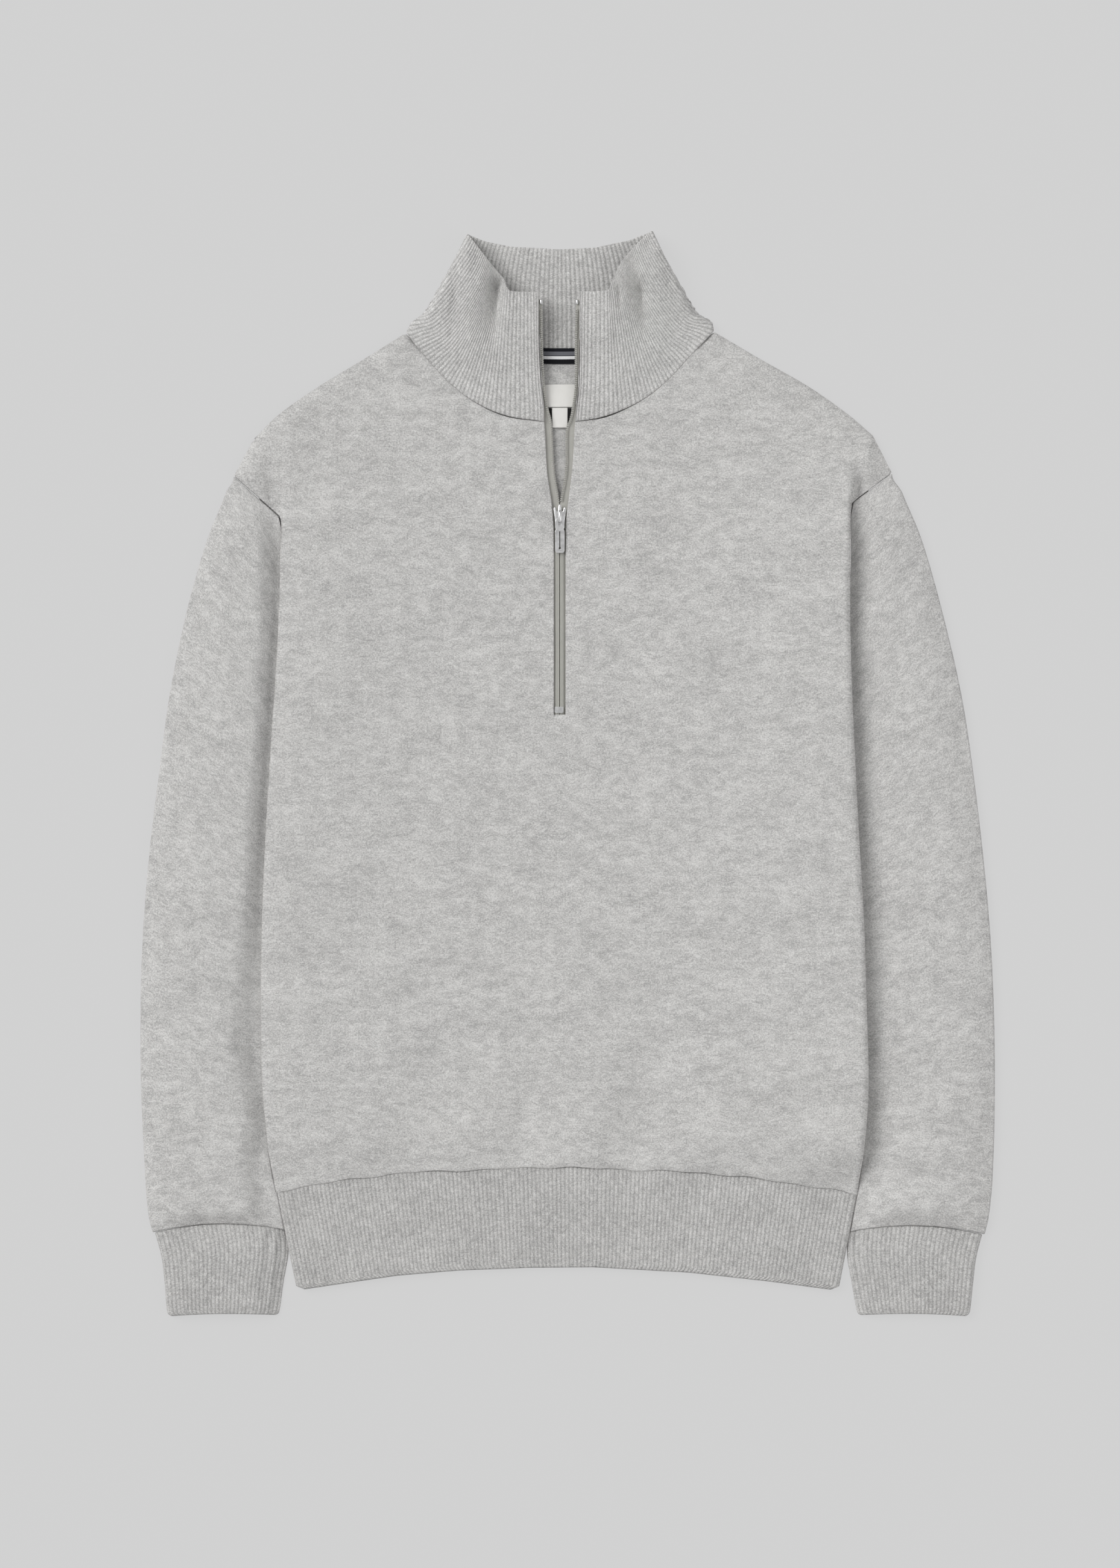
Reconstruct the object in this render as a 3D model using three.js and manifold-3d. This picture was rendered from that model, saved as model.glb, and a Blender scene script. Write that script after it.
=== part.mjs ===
// A quarter zip sweater in marl sweatshirt knit, laid flat on its back panel.
// Millimetres. X is to the right as seen from above, Y is towards the collar, Z is up off the surface.
// The origin is on the surface, under the middle of the garment's box.
import * as THREE from 'three';
import Module from 'manifold-3d';

const wasm = await Module();
wasm.setup();

// Driving dimensions
const CLOTH = 2.0; // sweatshirt knit wall
const RIB_WALL = 1.8; // rib knit wall between the ribs
const RIB_RISE = 0.6; // how far a rib stands out of that wall
const RIB_PITCH = 3.2; // collar and cuffs
const HEM_PITCH = 2.95; // hem band
const SEAM = 0.3; // gap between two pieces that are sewn together
const FRONT_LOW = 6.4; // middle of the front's wall over the zip
const HEM_Y = -306; // level of the hem seam's ends
const ROLL_GROWS = 38; // height above them where the side roll is full
const SIDE_LIFT = 6.0; // how much higher the front lies where it rolls over the sleeves
const LIFT = { armpit: 150, fadeOver: 130, fade: 0.75, growsOver: 44, seamOver: 22 };
const SEAM_LEVEL = 5.0; // middle of the front's wall at the hem seam
const SHOULDER_LEVEL = 3.4; // middle of the front's wall at the shoulder seam
const NECK_POINT_LEVEL = 4.6; // and where the shoulder meets the collar
const SIDE_SEAM_LEVEL = 3.5; // middle of the front's wall at the side seam, over the back's edge
const ROLL = 3.0; // radius of the side roll, at the middle of the wall
const TUCK = 15.0; // how far a sleeve lies under the side roll
const HEM = { width: 410, height: 6.0, swell: 0.35, wave: 0.3, waves: 9, fold: 3, gap: 0.45, tuckIn: 0.012 };
const CUFF = { width: 88, height: 5.8, swell: 0.5, fold: 2.8, innerColumns: 7 };
const ZIP_X = -5.65; // middle line of the zip
const SLIT_END = 43; // lower end of the zip's slit
const TAPE = 1.0; // zip tape
const TAPE_HIDDEN = 6.0; // width of zip tape under the cloth
const COIL = { width: 5.2, height: 1.8 };
// Closed stretch: ends of its tapes, of the narrower run through the slider, and of the coil
const CHAIN = { low: 36, wideHigh: 176.8, narrow: 1, high: 188, coilHigh: 187.6 };
const SLIDER = { low: 177.5, high: 195.5, width: 9.2, plate: 1.0, floor: 2.8, roof: 7.3 };
const CROWN = { low: 181.5, high: 191.5, leg: 1.5, width: 2.0, rise: 3.0, bar: 1.0 };
const PULL = {
  width: 7.0,
  length: 24.5,
  thick: 1.2,
  eye: 3.8,
  eyeWidth: 2.6,
  side: 1.2,
  neck: 1,
  shoulder: 3.4,
  corner: 1.6,
  slotWidth: 1.8,
  slotTop: 3.6,
  slot: 11,
};
const PIVOT = { y: 183.95, z: 9.3 };
const PULL_TILT = 2.4; // degrees that the pull's end lies lower than its eye
const STOP = { x: -6.15, width: 6.4, low: 44.2, high: 48.7, top: 7.6, corner: 0.8, grooveDepth: 0.5 };
const TOP_STOP = { width: 2.4, length: 5.0, height: 2.2, high: 342.6 };
const NECK_TAPE = { left: -88, right: 78, width: 11.5, thick: 0.8, lift: 2.5, columns: 15 };
const LABEL = { width: 46, low: 266, high: 282.5, thick: 0.7 };
const TAB = { left: -11.25, right: 0, low: 251, high: 265.6, thick: 0.6 };
const TAB_BACK = { left: -13.5, right: 2.8, low: 252.6, high: 265.2, thick: 0.5 };

// Colours, roughness and metalness of the finishes
const FINISH = {
  jersey: { color: 0xbcbbb9, roughness: 0.95, metalness: 0 },
  rib: { color: 0xb2b1af, roughness: 0.95, metalness: 0 },
  zipTape: { color: 0x9a9993, roughness: 0.9, metalness: 0 },
  coil: { color: 0x8d8c86, roughness: 0.6, metalness: 0.1 },
  steel: { color: 0xc9c9c9, roughness: 0.3, metalness: 1 },
  neckTape: { color: 0x1a1e2a, roughness: 0.85, metalness: 0 },
  label: { color: 0xe9e7e2, roughness: 0.7, metalness: 0 },
  tabBack: { color: 0x151515, roughness: 0.8, metalness: 0 },
};

// Outer edge of each sleeve and shoulder, seen from above, going down
const OUTLINE = [
  { y: 321, left: -117, right: 106.5 },
  { y: 311, left: -129, right: 122 },
  { y: 301, left: -147, right: 139 },
  { y: 281, left: -180, right: 174 },
  { y: 261, left: -208.5, right: 202.5 },
  { y: 241, left: -228.5, right: 222.5 },
  { y: 221, left: -243, right: 236 },
  { y: 201, left: -249, right: 244 },
  { y: 171, left: -261, right: 256.5 },
  { y: 121, left: -275.5, right: 271 },
  { y: 61, left: -288, right: 285 },
  { y: 11, left: -295, right: 293 },
  { y: -69, left: -304.5, right: 302.5 },
  { y: -139, left: -309, right: 308 },
  { y: -219, left: -309.5, right: 310 },
  { y: -289, left: -306.5, right: 308.5 },
  { y: -320, left: -304, right: 305.5 },
  { y: -333, left: -300.8, right: 302.4 },
];

// Visible side edge of the body, going down
const BODY_EDGE = [
  { y: 246, left: -227, right: 221 },
  { y: 233, left: -219, right: 211.5 },
  { y: 222, left: -212.5, right: 208 },
  { y: 209, left: -209.2, right: 207 },
  { y: 181, left: -209, right: 206.5 },
  { y: 136, left: -208.8, right: 204.6 },
  { y: 76, left: -211.5, right: 205.5 },
  { y: 16, left: -215.5, right: 208 },
  { y: -44, left: -219, right: 211 },
  { y: -104, left: -221.5, right: 214.5 },
  { y: -164, left: -222.5, right: 216.5 },
  { y: -224, left: -221.5, right: 218 },
  { y: -254, left: -219, right: 216.5 },
  { y: -284, left: -215.5, right: 213.5 },
  { y: -308, left: -211, right: 210 },
];

// Columns of the front panel: share of the width, and the panel's top edge there
// (shoulder, neck seam, the two sides of the zip's slit, neck seam, shoulder)
const FRONT_TOP = [
  { u: 0, x: -226, y: 244, part: 'shoulder' },
  { u: 0.06, x: -208.5, y: 261, part: 'shoulder' },
  { u: 0.12, x: -180, y: 281, part: 'shoulder' },
  { u: 0.18, x: -147, y: 301, part: 'shoulder' },
  { u: 0.245, x: -117.5, y: 319.5, part: 'neck point' },
  { u: 0.28, x: -103, y: 302.5, part: 'neck' },
  { u: 0.32, x: -87, y: 285, part: 'neck' },
  { u: 0.365, x: -68, y: 270, part: 'neck' },
  { u: 0.42, x: -45, y: 259.3, part: 'neck' },
  { u: 0.478, x: -16.5, y: 255.2, part: 'slit' },
  { u: 0.498, x: 5.2, y: 255.2, part: 'slit' },
  { u: 0.555, x: 29, y: 259, part: 'neck' },
  { u: 0.62, x: 56.5, y: 272.5, part: 'neck' },
  { u: 0.665, x: 75.5, y: 288.5, part: 'neck' },
  { u: 0.705, x: 91.5, y: 306, part: 'neck' },
  { u: 0.745, x: 106, y: 320.5, part: 'neck point' },
  { u: 0.82, x: 139, y: 301, part: 'shoulder' },
  { u: 0.88, x: 174, y: 281, part: 'shoulder' },
  { u: 0.94, x: 202.5, y: 261, part: 'shoulder' },
  { u: 1, x: 220, y: 246, part: 'shoulder' },
];
const FRONT_ROWS = [
  0, 0.012, 0.035, 0.07, 0.12, 0.18, 0.25, 0.32, 0.4, 0.48, 0.56, 0.63, 0.7, 0.76, 0.82, 0.87, 0.905,
  0.935, 0.96, 0.982, 0.995, 1,
];

// Hem seam: the body's lower edge
const HEM_SEAM = [
  { x: -211, y: -304 },
  { x: -182, y: -297.5 },
  { x: -150, y: -293 },
  { x: -109, y: -289.3 },
  { x: -72, y: -287 },
  { x: -3.5, y: -285.7 },
  { x: 45, y: -286.7 },
  { x: 88.5, y: -289 },
  { x: 144, y: -294 },
  { x: 180, y: -299.5 },
  { x: 210, y: -306 },
];
const HEM_LOW = [
  { x: -196.3, y: -374.4 },
  { x: -160, y: -369 },
  { x: -123.5, y: -363.7 },
  { x: -79.5, y: -360 },
  { x: -28, y: -358 },
  { x: 18.5, y: -357.6 },
  { x: 88.5, y: -361.5 },
  { x: 147, y: -368 },
  { x: 196.5, y: -374.6 },
];

// How the front's wall runs on past its visible side edge: reach inwards from the edge, and the
// share of the way down to the side seam
const SIDE_PROFILE = [
  { reach: 3, fall: 0 },
  { reach: 0.88, fall: 0.1 },
  { reach: 0, fall: 0.33 },
  { reach: 0.88, fall: 0.56 },
  { reach: 3, fall: 0.66 },
  { reach: 12.5, fall: 0.66 },
  { reach: 19.5, fall: 1 },
];
const HEM_PROFILE = [
  { reach: 6, fall: 0 },
  { reach: 4.4, fall: 0.06 },
  { reach: 3, fall: 0.21 },
  { reach: 1.9, fall: 0.42 },
  { reach: 1, fall: 0.67 },
  { reach: 0.4, fall: 0.85 },
  { reach: 0, fall: 1 },
];
const ARMHOLE_SHARE = [0, 0.1, 0.24, 0.42, 0.62, 0.82, 1];
const ARMHOLE_DROP = [0, 0.1, 0.36, 0.66, 0.87, 0.96, 1];
const UNDERARM_Y = 150; // where the hidden armhole seam ends under the roll
// The armhole seam: its sleeve tip's share of the way up, and the middle of the front's wall along it
const ARMHOLE_SEAM = { tipShare: 0.6, dipLevel: 4.4, tipLevel: 3.6, hump: 0.7 };
const ARMHOLE = {
  left: { tip: { x: -242.2, y: 216 }, dip: { x: -208.6, y: 187 } },
  right: { tip: { x: 235.4, y: 218 }, dip: { x: 206.3, y: 189 } },
};

// Back panel: rows of its side edge, and how far it stays in from the front's edge and from its seams
const BACK = {
  sideRows: [120, 60, 0, -60, -120, -180, -240, -262, -276],
  sideInset: 2,
  gap: 0.2,
  hemFrom: -208.6,
  hemTo: 207.6,
};
const BACK_SHOULDER = {
  left: [
    { x: -225.6, y: 243.4 },
    { x: -208, y: 260.2 },
    { x: -179.4, y: 280.2 },
    { x: -146.4, y: 300.2 },
    { x: -118.2, y: 317.8 },
  ],
  right: [
    { x: 219.6, y: 245.4 },
    { x: 202, y: 260.4 },
    { x: 173.4, y: 280.2 },
    { x: 138.4, y: 300.2 },
    { x: 107.6, y: 318.4 },
  ],
};

// Soft folds: a line from where the fold is deepest, its half width, and its depth (a ridge if below 0)
const BODY_FOLDS = [
  { x0: -118, y0: -278, x1: -84, y1: -150, width: 15, depth: 2.6 },
  { x0: -38, y0: -276, x1: -10, y1: -165, width: 13, depth: 2.2 },
  { x0: 50, y0: -272, x1: 90, y1: -75, width: 17, depth: 2.8 },
  { x0: 138, y0: -280, x1: 146, y1: -225, width: 11, depth: 1.8 },
  { x0: -150, y0: -95, x1: -124, y1: 5, width: 20, depth: 1.2 },
  { x0: -80, y0: -276, x1: -52, y1: -190, width: 14, depth: -1.6 },
  { x0: 8, y0: -274, x1: 38, y1: -180, width: 16, depth: -1.8 },
  { x0: 98, y0: -272, x1: 118, y1: -190, width: 14, depth: -1.5 },
  { x0: -196, y0: 192, x1: -120, y1: 120, width: 14, depth: 1.1 },
  { x0: 193, y0: 196, x1: 120, y1: 128, width: 14, depth: 1.0 },
];
const LEFT_SLEEVE_FOLDS = [
  { x0: -216, y0: -322, x1: -243, y1: -170, width: 9, depth: 2.4 },
  { x0: -262, y0: -318, x1: -276, y1: -250, width: 11, depth: 1.2 },
  { x0: -228, y0: 60, x1: -262, y1: -20, width: 13, depth: 0.9 },
];
const RIGHT_SLEEVE_FOLDS = [
  { x0: 252, y0: -296, x1: 294, y1: -270, width: 8, depth: 1.6 },
  { x0: 216, y0: -318, x1: 232, y1: -220, width: 9, depth: 1.9 },
  { x0: 226, y0: 55, x1: 262, y1: -25, width: 13, depth: 0.9 },
];
const COLLAR_FOLDS = [
  { x0: -55, y0: 350, x1: -57, y1: 292, width: 6, depth: 3.4 },
  { x0: -82, y0: 348, x1: -84, y1: 306, width: 5, depth: 1.8 },
  { x0: -72, y0: 376, x1: -70, y1: 318, width: 5, depth: -1.6 },
  { x0: 51, y0: 350, x1: 55, y1: 300, width: 6, depth: 2.8 },
  { x0: 36, y0: 349, x1: 38, y1: 330, width: 3.5, depth: 1.6 },
  { x0: 64, y0: 378, x1: 68, y1: 320, width: 6, depth: -1.4 },
];

// Flattened sleeve: heights at its outer fold, under the body's edge and past it, and how far the
// right one's lower end lies below the left one's
const SLEEVE = {
  height: 5.2,
  edgeHeight: 4.9,
  innerDrop: 0.3,
  least: 4.6,
  fold: 3.2,
  besideHem: 10,
  tipGap: 0.6,
  drop: { left: 0, right: -1.4, from: -200, length: 130 },
};
const SLEEVE_SHARES = [0, 0.07, 0.15, 0.24, 0.33, 0.42, 0.51, 0.6, 0.68, 0.76, 0.84, 0.92, 1];
const SLEEVE_INNER_SHARES = [0, 0.12, 0.28, 0.44, 0.6, 0.76, 0.9, 1];

// Sleeve rings: where each starts outside, where it passes under the body's edge, and where it ends
const SLEEVE_RINGS = [
  { outer: 215.4, middle: 185.8, inner: 170, puff: 0.6, bow: 0 },
  { outer: 203, middle: 168, inner: 151, puff: 1.4, bow: 0 },
  { outer: 184, middle: 145, inner: 126, puff: 2.4, bow: 0 },
  { outer: 155, middle: 113, inner: 94, puff: 2.8, bow: 0 },
  { outer: 115, middle: 72, inner: 57, puff: 2.8, bow: 0 },
  { outer: 65, middle: 25, inner: 13, puff: 2.8, bow: 0 },
  { outer: 10, middle: -25, inner: -34, puff: 2.8, bow: 0 },
  { outer: -50, middle: -78, inner: -84, puff: 2.8, bow: 0 },
  { outer: -110, middle: -130, inner: -134, puff: 2.8, bow: 0 },
  { outer: -165, middle: -178, inner: -181, puff: 2.8, bow: 0 },
  { outer: -212, middle: -219, inner: -221, puff: 2.8, bow: 0 },
  { outer: -250, middle: -252, inner: -253, puff: 2.8, bow: 1 },
  { outer: -280, middle: -278, inner: -280, puff: 2.8, bow: 2 },
  { outer: -304, middle: -300, inner: -303, puff: 2.4, bow: 3.5 },
  { outer: -322, middle: -318, inner: -320, puff: 1.6, bow: 4.6 },
  { outer: -332.4, middle: -330.8, inner: -330.6, puff: 0.8, bow: 5.5 },
];
const TUCK_ROWS = [
  { y: 175, tuck: 2.4 },
  { y: 160, tuck: 5 },
  { y: 144, tuck: 10 },
  { y: 126, tuck: 15 },
  { y: -225, tuck: 15 },
  { y: -243, tuck: 9 },
  { y: -256, tuck: 1 },
  { y: -266, tuck: -1.6 },
  { y: -304, tuck: -1.6 },
  { y: -332, tuck: -1.2 },
];

// Cuff rings, left and right: outer end, inner end, and how far the middle bows up
const CUFFS = {
  left: [
    { ox: -299.4, oy: -332.9, ix: -207.6, iy: -331.1, bow: 5.5 },
    { ox: -294.6, oy: -350, ix: -203.6, iy: -347, bow: 3.4 },
    { ox: -292.2, oy: -370, ix: -206, iy: -368.6, bow: 2 },
    { ox: -290.6, oy: -389, ix: -208.8, iy: -388.6, bow: 1.2 },
    { ox: -287.8, oy: -393, ix: -211.4, iy: -392.4, bow: 1.4 },
  ],
  right: [
    { ox: 300.8, oy: -334.3, ix: 207.2, iy: -332.5, bow: 5.5 },
    { ox: 296.4, oy: -351, ix: 204.8, iy: -349, bow: 3.4 },
    { ox: 294, oy: -371, ix: 206.6, iy: -369, bow: 2 },
    { ox: 292, oy: -389, ix: 209.6, iy: -388.6, bow: 1.2 },
    { ox: 289.4, oy: -393, ix: 212.2, iy: -392.4, bow: 1.4 },
  ],
};

// Collar: the side fold of each front half going up, and its top edge from the side fold to the zip
const COLLAR = {
  left: {
    side: [
      { v: 0, x: -117, y: 320.6 },
      { v: 0.12, x: -112.5, y: 328 },
      { v: 0.24, x: -102, y: 334.5 },
      { v: 0.6, x: -87.6, y: 362 },
      { v: 1, x: -72.8, y: 391.5 },
    ],
    top: [
      { s: 0, x: -72.8, y: 391.5 },
      { s: 0.25, x: -62, y: 378.5 },
      { s: 0.5, x: -51, y: 365.5 },
      { s: 0.62, x: -46, y: 359 },
      { s: 0.7, x: -44.4, y: 354 },
      { s: 0.78, x: -41.5, y: 349.6 },
      { s: 1, x: -21.5, y: 349 },
    ],
  },
  right: {
    side: [
      { v: 0, x: 106.2, y: 321.4 },
      { v: 0.12, x: 104, y: 328.4 },
      { v: 0.24, x: 92.8, y: 333.6 },
      { v: 0.6, x: 77, y: 362 },
      { v: 1, x: 61.4, y: 393.4 },
    ],
    top: [
      { s: 0, x: 61.4, y: 393.4 },
      { s: 0.25, x: 51.5, y: 385 },
      { s: 0.5, x: 40, y: 371.5 },
      { s: 0.62, x: 35, y: 362 },
      { s: 0.7, x: 32.6, y: 354 },
      { s: 0.78, x: 31, y: 350 },
      { s: 1, x: 9, y: 349.3 },
    ],
  },
};
const COLLAR_ROWS = [0, 0.12, 0.26, 0.5, 0.75, 1];
const COLLAR_BACK_SEAM = [
  { x: -117, y: 320.6 },
  { x: -90, y: 313 },
  { x: -50, y: 305.5 },
  { x: -5.5, y: 303 },
  { x: 40, y: 305.5 },
  { x: 80, y: 313 },
  { x: 106.2, y: 321.4 },
];
const COLLAR_BACK_TOP = [
  { x: -72.8, y: 391.5 },
  { x: -60, y: 386.4 },
  { x: -42, y: 382.6 },
  { x: -5.5, y: 380.6 },
  { x: 20, y: 381.8 },
  { x: 44, y: 387 },
  { x: 61.4, y: 393.4 },
];

// Open stretch of the zip, going down: cloth edge and inner tape edge on each side
const ZIP_OPEN = [
  { y: 344, leftCloth: -20.9, leftTape: -18, rightTape: 5.4, rightCloth: 8.4 },
  { y: 309, leftCloth: -20.4, leftTape: -17.2, rightTape: 5.2, rightCloth: 8.4 },
  { y: 283, leftCloth: -18.4, leftTape: -15.2, rightTape: 4.6, rightCloth: 7.6 },
  { y: 262, leftCloth: -17, leftTape: -12.6, rightTape: 0.8, rightCloth: 5.6 },
  { y: 250, leftCloth: -16.4, leftTape: -11.2, rightTape: -1, rightCloth: 5 },
  { y: 220, leftCloth: -14.8, leftTape: -9.6, rightTape: -1.6, rightCloth: 3.2 },
  { y: 197, leftCloth: -11.5, leftTape: -6, rightTape: -5.3, rightCloth: 0.3 },
  { y: 188, leftCloth: -10.6, leftTape: -5.9, rightTape: -5.4, rightCloth: -0.8 },
  { y: 177, leftCloth: -9.8, leftTape: -5.9, rightTape: -5.4, rightCloth: -1.5 },
];
const SLIT_HALF = 4.15; // half width of the slit along the closed zip
const BELOW_SLIT = 60; // run under the slit in which the front's columns keep its lines

// Small maths
const lerp = (a, b, t) => a + (b - a) * t;
const clampBetween = (value, low, high) => Math.min(high, Math.max(low, value));
const clamp01 = (t) => clampBetween(t, 0, 1);
const smooth = (t) => clamp01(t) ** 2 * (3 - 2 * clamp01(t));
const bell = (t) => Math.exp(-(t ** 2));
const range = (n) => Array.from({ length: n }, (_, i) => i);
const apart = (a, b) => Math.hypot(a.x - b.x, a.y - b.y);
const spread = (a, b, n) => range(n).map((i) => lerp(a, b, i / (n - 1)));

// Reads a column of a table at a place of its first column, on a smooth curve through the rows
function read(rows, key, place, by) {
  const sign = rows[rows.length - 1][by] > rows[0][by] ? 1 : -1;
  const at = (i) => sign * rows[i][by];
  const t = Math.min(Math.max(sign * place, at(0)), at(rows.length - 1));
  let i = 0;
  while (i < rows.length - 2 && t > at(i + 1)) i += 1;
  const slope = (j) => {
    const a = Math.max(0, j - 1);
    const b = Math.min(rows.length - 1, j + 1);
    return (rows[b][key] - rows[a][key]) / (at(b) - at(a));
  };
  const span = at(i + 1) - at(i);
  const f = (t - at(i)) / span;
  const c0 = rows[i][key];
  const c1 = rows[i + 1][key];
  const h = f * f * (3 - 2 * f);
  return c0 + (c1 - c0) * h + span * (slope(i) * f * (1 - f) ** 2 - slope(i + 1) * f * f * (1 - f));
}

// Point on a curve of x and y rows at a share of its run, with straight stretches between rows
function onPath(rows, share) {
  const steps = rows.slice(1).map((row, i) => apart(row, rows[i]));
  const total = steps.reduce((sum, step) => sum + step, 0);
  let left = clamp01(share) * total;
  let i = 0;
  while (i < steps.length - 1 && left > steps[i]) {
    left -= steps[i];
    i += 1;
  }
  const f = left / steps[i];
  return { x: lerp(rows[i].x, rows[i + 1].x, f), y: lerp(rows[i].y, rows[i + 1].y, f) };
}

// Sum of soft folds at a place: each is a long bell across its line that fades along it
function folds(rows, x, y) {
  return rows.reduce((sum, { x0, y0, x1, y1, width, depth }) => {
    const length = Math.hypot(x1 - x0, y1 - y0);
    const along = ((x - x0) * (x1 - x0) + (y - y0) * (y1 - y0)) / length ** 2;
    const across = ((x - x0) * (y1 - y0) - (y - y0) * (x1 - x0)) / length;
    const before = Math.min(0, along) * length;
    const fade = bell(before / (width * 1.6)) * (1 - clamp01(along)) ** 1.3;
    return sum - depth * fade * bell(across / (width * (1 + 0.5 * clamp01(along))));
  }, 0);
}

// Mesh from a list of triangles of points, turned so that its faces point out
function solid(name, finish, triangles) {
  const volume = triangles.reduce((sum, [a, b, c]) => sum + a.dot(b.clone().cross(c)), 0);
  const faces = volume < 0 ? triangles.map(([a, b, c]) => [a, c, b]) : triangles;
  const geometry = new THREE.BufferGeometry();
  const numbers = faces.flat().flatMap((point) => [point.x, point.y, point.z]);
  geometry.setAttribute('position', new THREE.Float32BufferAttribute(numbers, 3));
  geometry.computeVertexNormals();
  return named(name, finish, geometry);
}

function named(name, finish, geometry) {
  const mesh = new THREE.Mesh(geometry, new THREE.MeshStandardMaterial(finish));
  mesh.name = name;
  return mesh;
}

// Triangles of a grid of points, a row for each list
function gridFaces(grid, closed) {
  const faces = [];
  for (let r = 0; r < grid.length - 1; r += 1) {
    const columns = grid[r].length;
    for (let c = 0; c < (closed ? columns : columns - 1); c += 1) {
      const d = (c + 1) % columns;
      faces.push([grid[r][c], grid[r][d], grid[r + 1][d]], [grid[r][c], grid[r + 1][d], grid[r + 1][c]]);
    }
  }
  return faces;
}

const turned = (faces) => faces.map(([a, b, c]) => [a, c, b]);

// Triangles between two lines of points whose places along them are given
function strip(lineA, placesA, lineB, placesB, closed) {
  const faces = [];
  const endA = closed ? lineA.length : lineA.length - 1;
  const endB = closed ? lineB.length : lineB.length - 1;
  const placeA = (i) => (i < placesA.length ? placesA[i] : 1 + placesA[0]);
  const placeB = (i) => (i < placesB.length ? placesB[i] : 1 + placesB[0]);
  let a = 0;
  let b = 0;
  while (a < endA || b < endB) {
    const pa = lineA[a % lineA.length];
    const pb = lineB[b % lineB.length];
    if (b >= endB || (a < endA && placeA(a + 1) <= placeB(b + 1))) {
      faces.push([pa, pb, lineA[(a + 1) % lineA.length]]);
      a += 1;
    } else {
      faces.push([pa, pb, lineB[(b + 1) % lineB.length]]);
      b += 1;
    }
  }
  return faces;
}

// Wall between an outer and an inner grid of points with the same number of rows
function wall(name, finish, outer, inner, closed) {
  const last = outer.rows.length - 1;
  const faces = [
    ...gridFaces(outer.rows, closed),
    ...turned(gridFaces(inner.rows, closed)),
    ...strip(outer.rows[0], outer.places, inner.rows[0], inner.places, closed),
    ...turned(strip(outer.rows[last], outer.places, inner.rows[last], inner.places, closed)),
  ];
  if (!closed) {
    const column = (grid, c) => grid.rows.map((row) => row[c < 0 ? row.length - 1 : c]);
    const marks = outer.rows.map((_, i) => i / last);
    faces.push(...turned(strip(column(outer, 0), marks, column(inner, 0), marks, false)));
    faces.push(...strip(column(outer, -1), marks, column(inner, -1), marks, false));
  }
  return solid(name, finish, faces);
}

// Moves the points of a grid along the surface's own direction
function offsetGrid(grid, distance) {
  const lastRow = grid.length - 1;
  const lastColumn = grid[0].length - 1;
  const pick = (r, c) => grid[clampBetween(r, 0, lastRow)][clampBetween(c, 0, lastColumn)];
  return grid.map((row, r) =>
    row.map((point, c) => {
      const across = pick(r, c + 1).clone().sub(pick(r, c - 1));
      const along = pick(r + 1, c).clone().sub(pick(r - 1, c));
      return point.clone().addScaledVector(across.cross(along).normalize(), distance);
    }),
  );
}

// Panel of even thickness on a grid of points at its middle; cells that "open" names are left out
function panel(name, finish, grid, thickness, open) {
  const top = offsetGrid(grid, thickness / 2);
  const low = offsetGrid(grid, -thickness / 2);
  const rows = grid.length - 1;
  const columns = grid[0].length - 1;
  const filled = (r, c) => r >= 0 && c >= 0 && r < rows && c < columns && !open(r, c);
  const faces = [];
  const quad = (a, b, c, d) => faces.push([a, b, c], [a, c, d]);
  for (let r = 0; r < rows; r += 1) {
    for (let c = 0; c < columns; c += 1) {
      if (filled(r, c)) {
        quad(top[r][c], top[r][c + 1], top[r + 1][c + 1], top[r + 1][c]);
        quad(low[r][c], low[r + 1][c], low[r + 1][c + 1], low[r][c + 1]);
        if (!filled(r - 1, c)) quad(top[r][c], low[r][c], low[r][c + 1], top[r][c + 1]);
        if (!filled(r + 1, c)) quad(top[r + 1][c + 1], low[r + 1][c + 1], low[r + 1][c], top[r + 1][c]);
        if (!filled(r, c - 1)) quad(top[r + 1][c], low[r + 1][c], low[r][c], top[r][c]);
        if (!filled(r, c + 1)) quad(top[r][c + 1], low[r][c + 1], low[r + 1][c + 1], top[r + 1][c + 1]);
      }
    }
  }
  return solid(name, finish, faces);
}

const vec = (x, y, z) => new THREE.Vector3(x, y, z);

// Body front

// Share of the side roll at a height: none at the hem seam, all of it above
const rollShare = (y) => smooth((y - HEM_Y) / ROLL_GROWS);
const inwards = { left: 1, right: -1 };
const ZIP_COLUMN = 0.49; // the front's columns below this share are left of the zip
const EDGE_ROUND = 9; // run over which the shoulder and the neck seam round down
const edgeX = (side, y) => read(BODY_EDGE, side, y, 'y');

// Height of the middle of the front's wall
function frontLevel(x, y) {
  const left = edgeX('left', y);
  const right = edgeX('right', y);
  const from = clamp01(Math.abs((2 * (x - ZIP_X)) / (right - left)));
  const { armpit, fadeOver, fade, growsOver, seamOver } = LIFT;
  const high = 1 - fade * smooth((y - armpit) / fadeOver);
  const low = smooth((y - HEM_Y) / growsOver);
  const hem = lerp(SEAM_LEVEL - FRONT_LOW, 0, smooth((y - HEM_Y - ROLL * 2) / seamOver));
  return FRONT_LOW + SIDE_LIFT * high * low * from ** 3 + hem + folds(BODY_FOLDS, x, y) * low;
}

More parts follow.
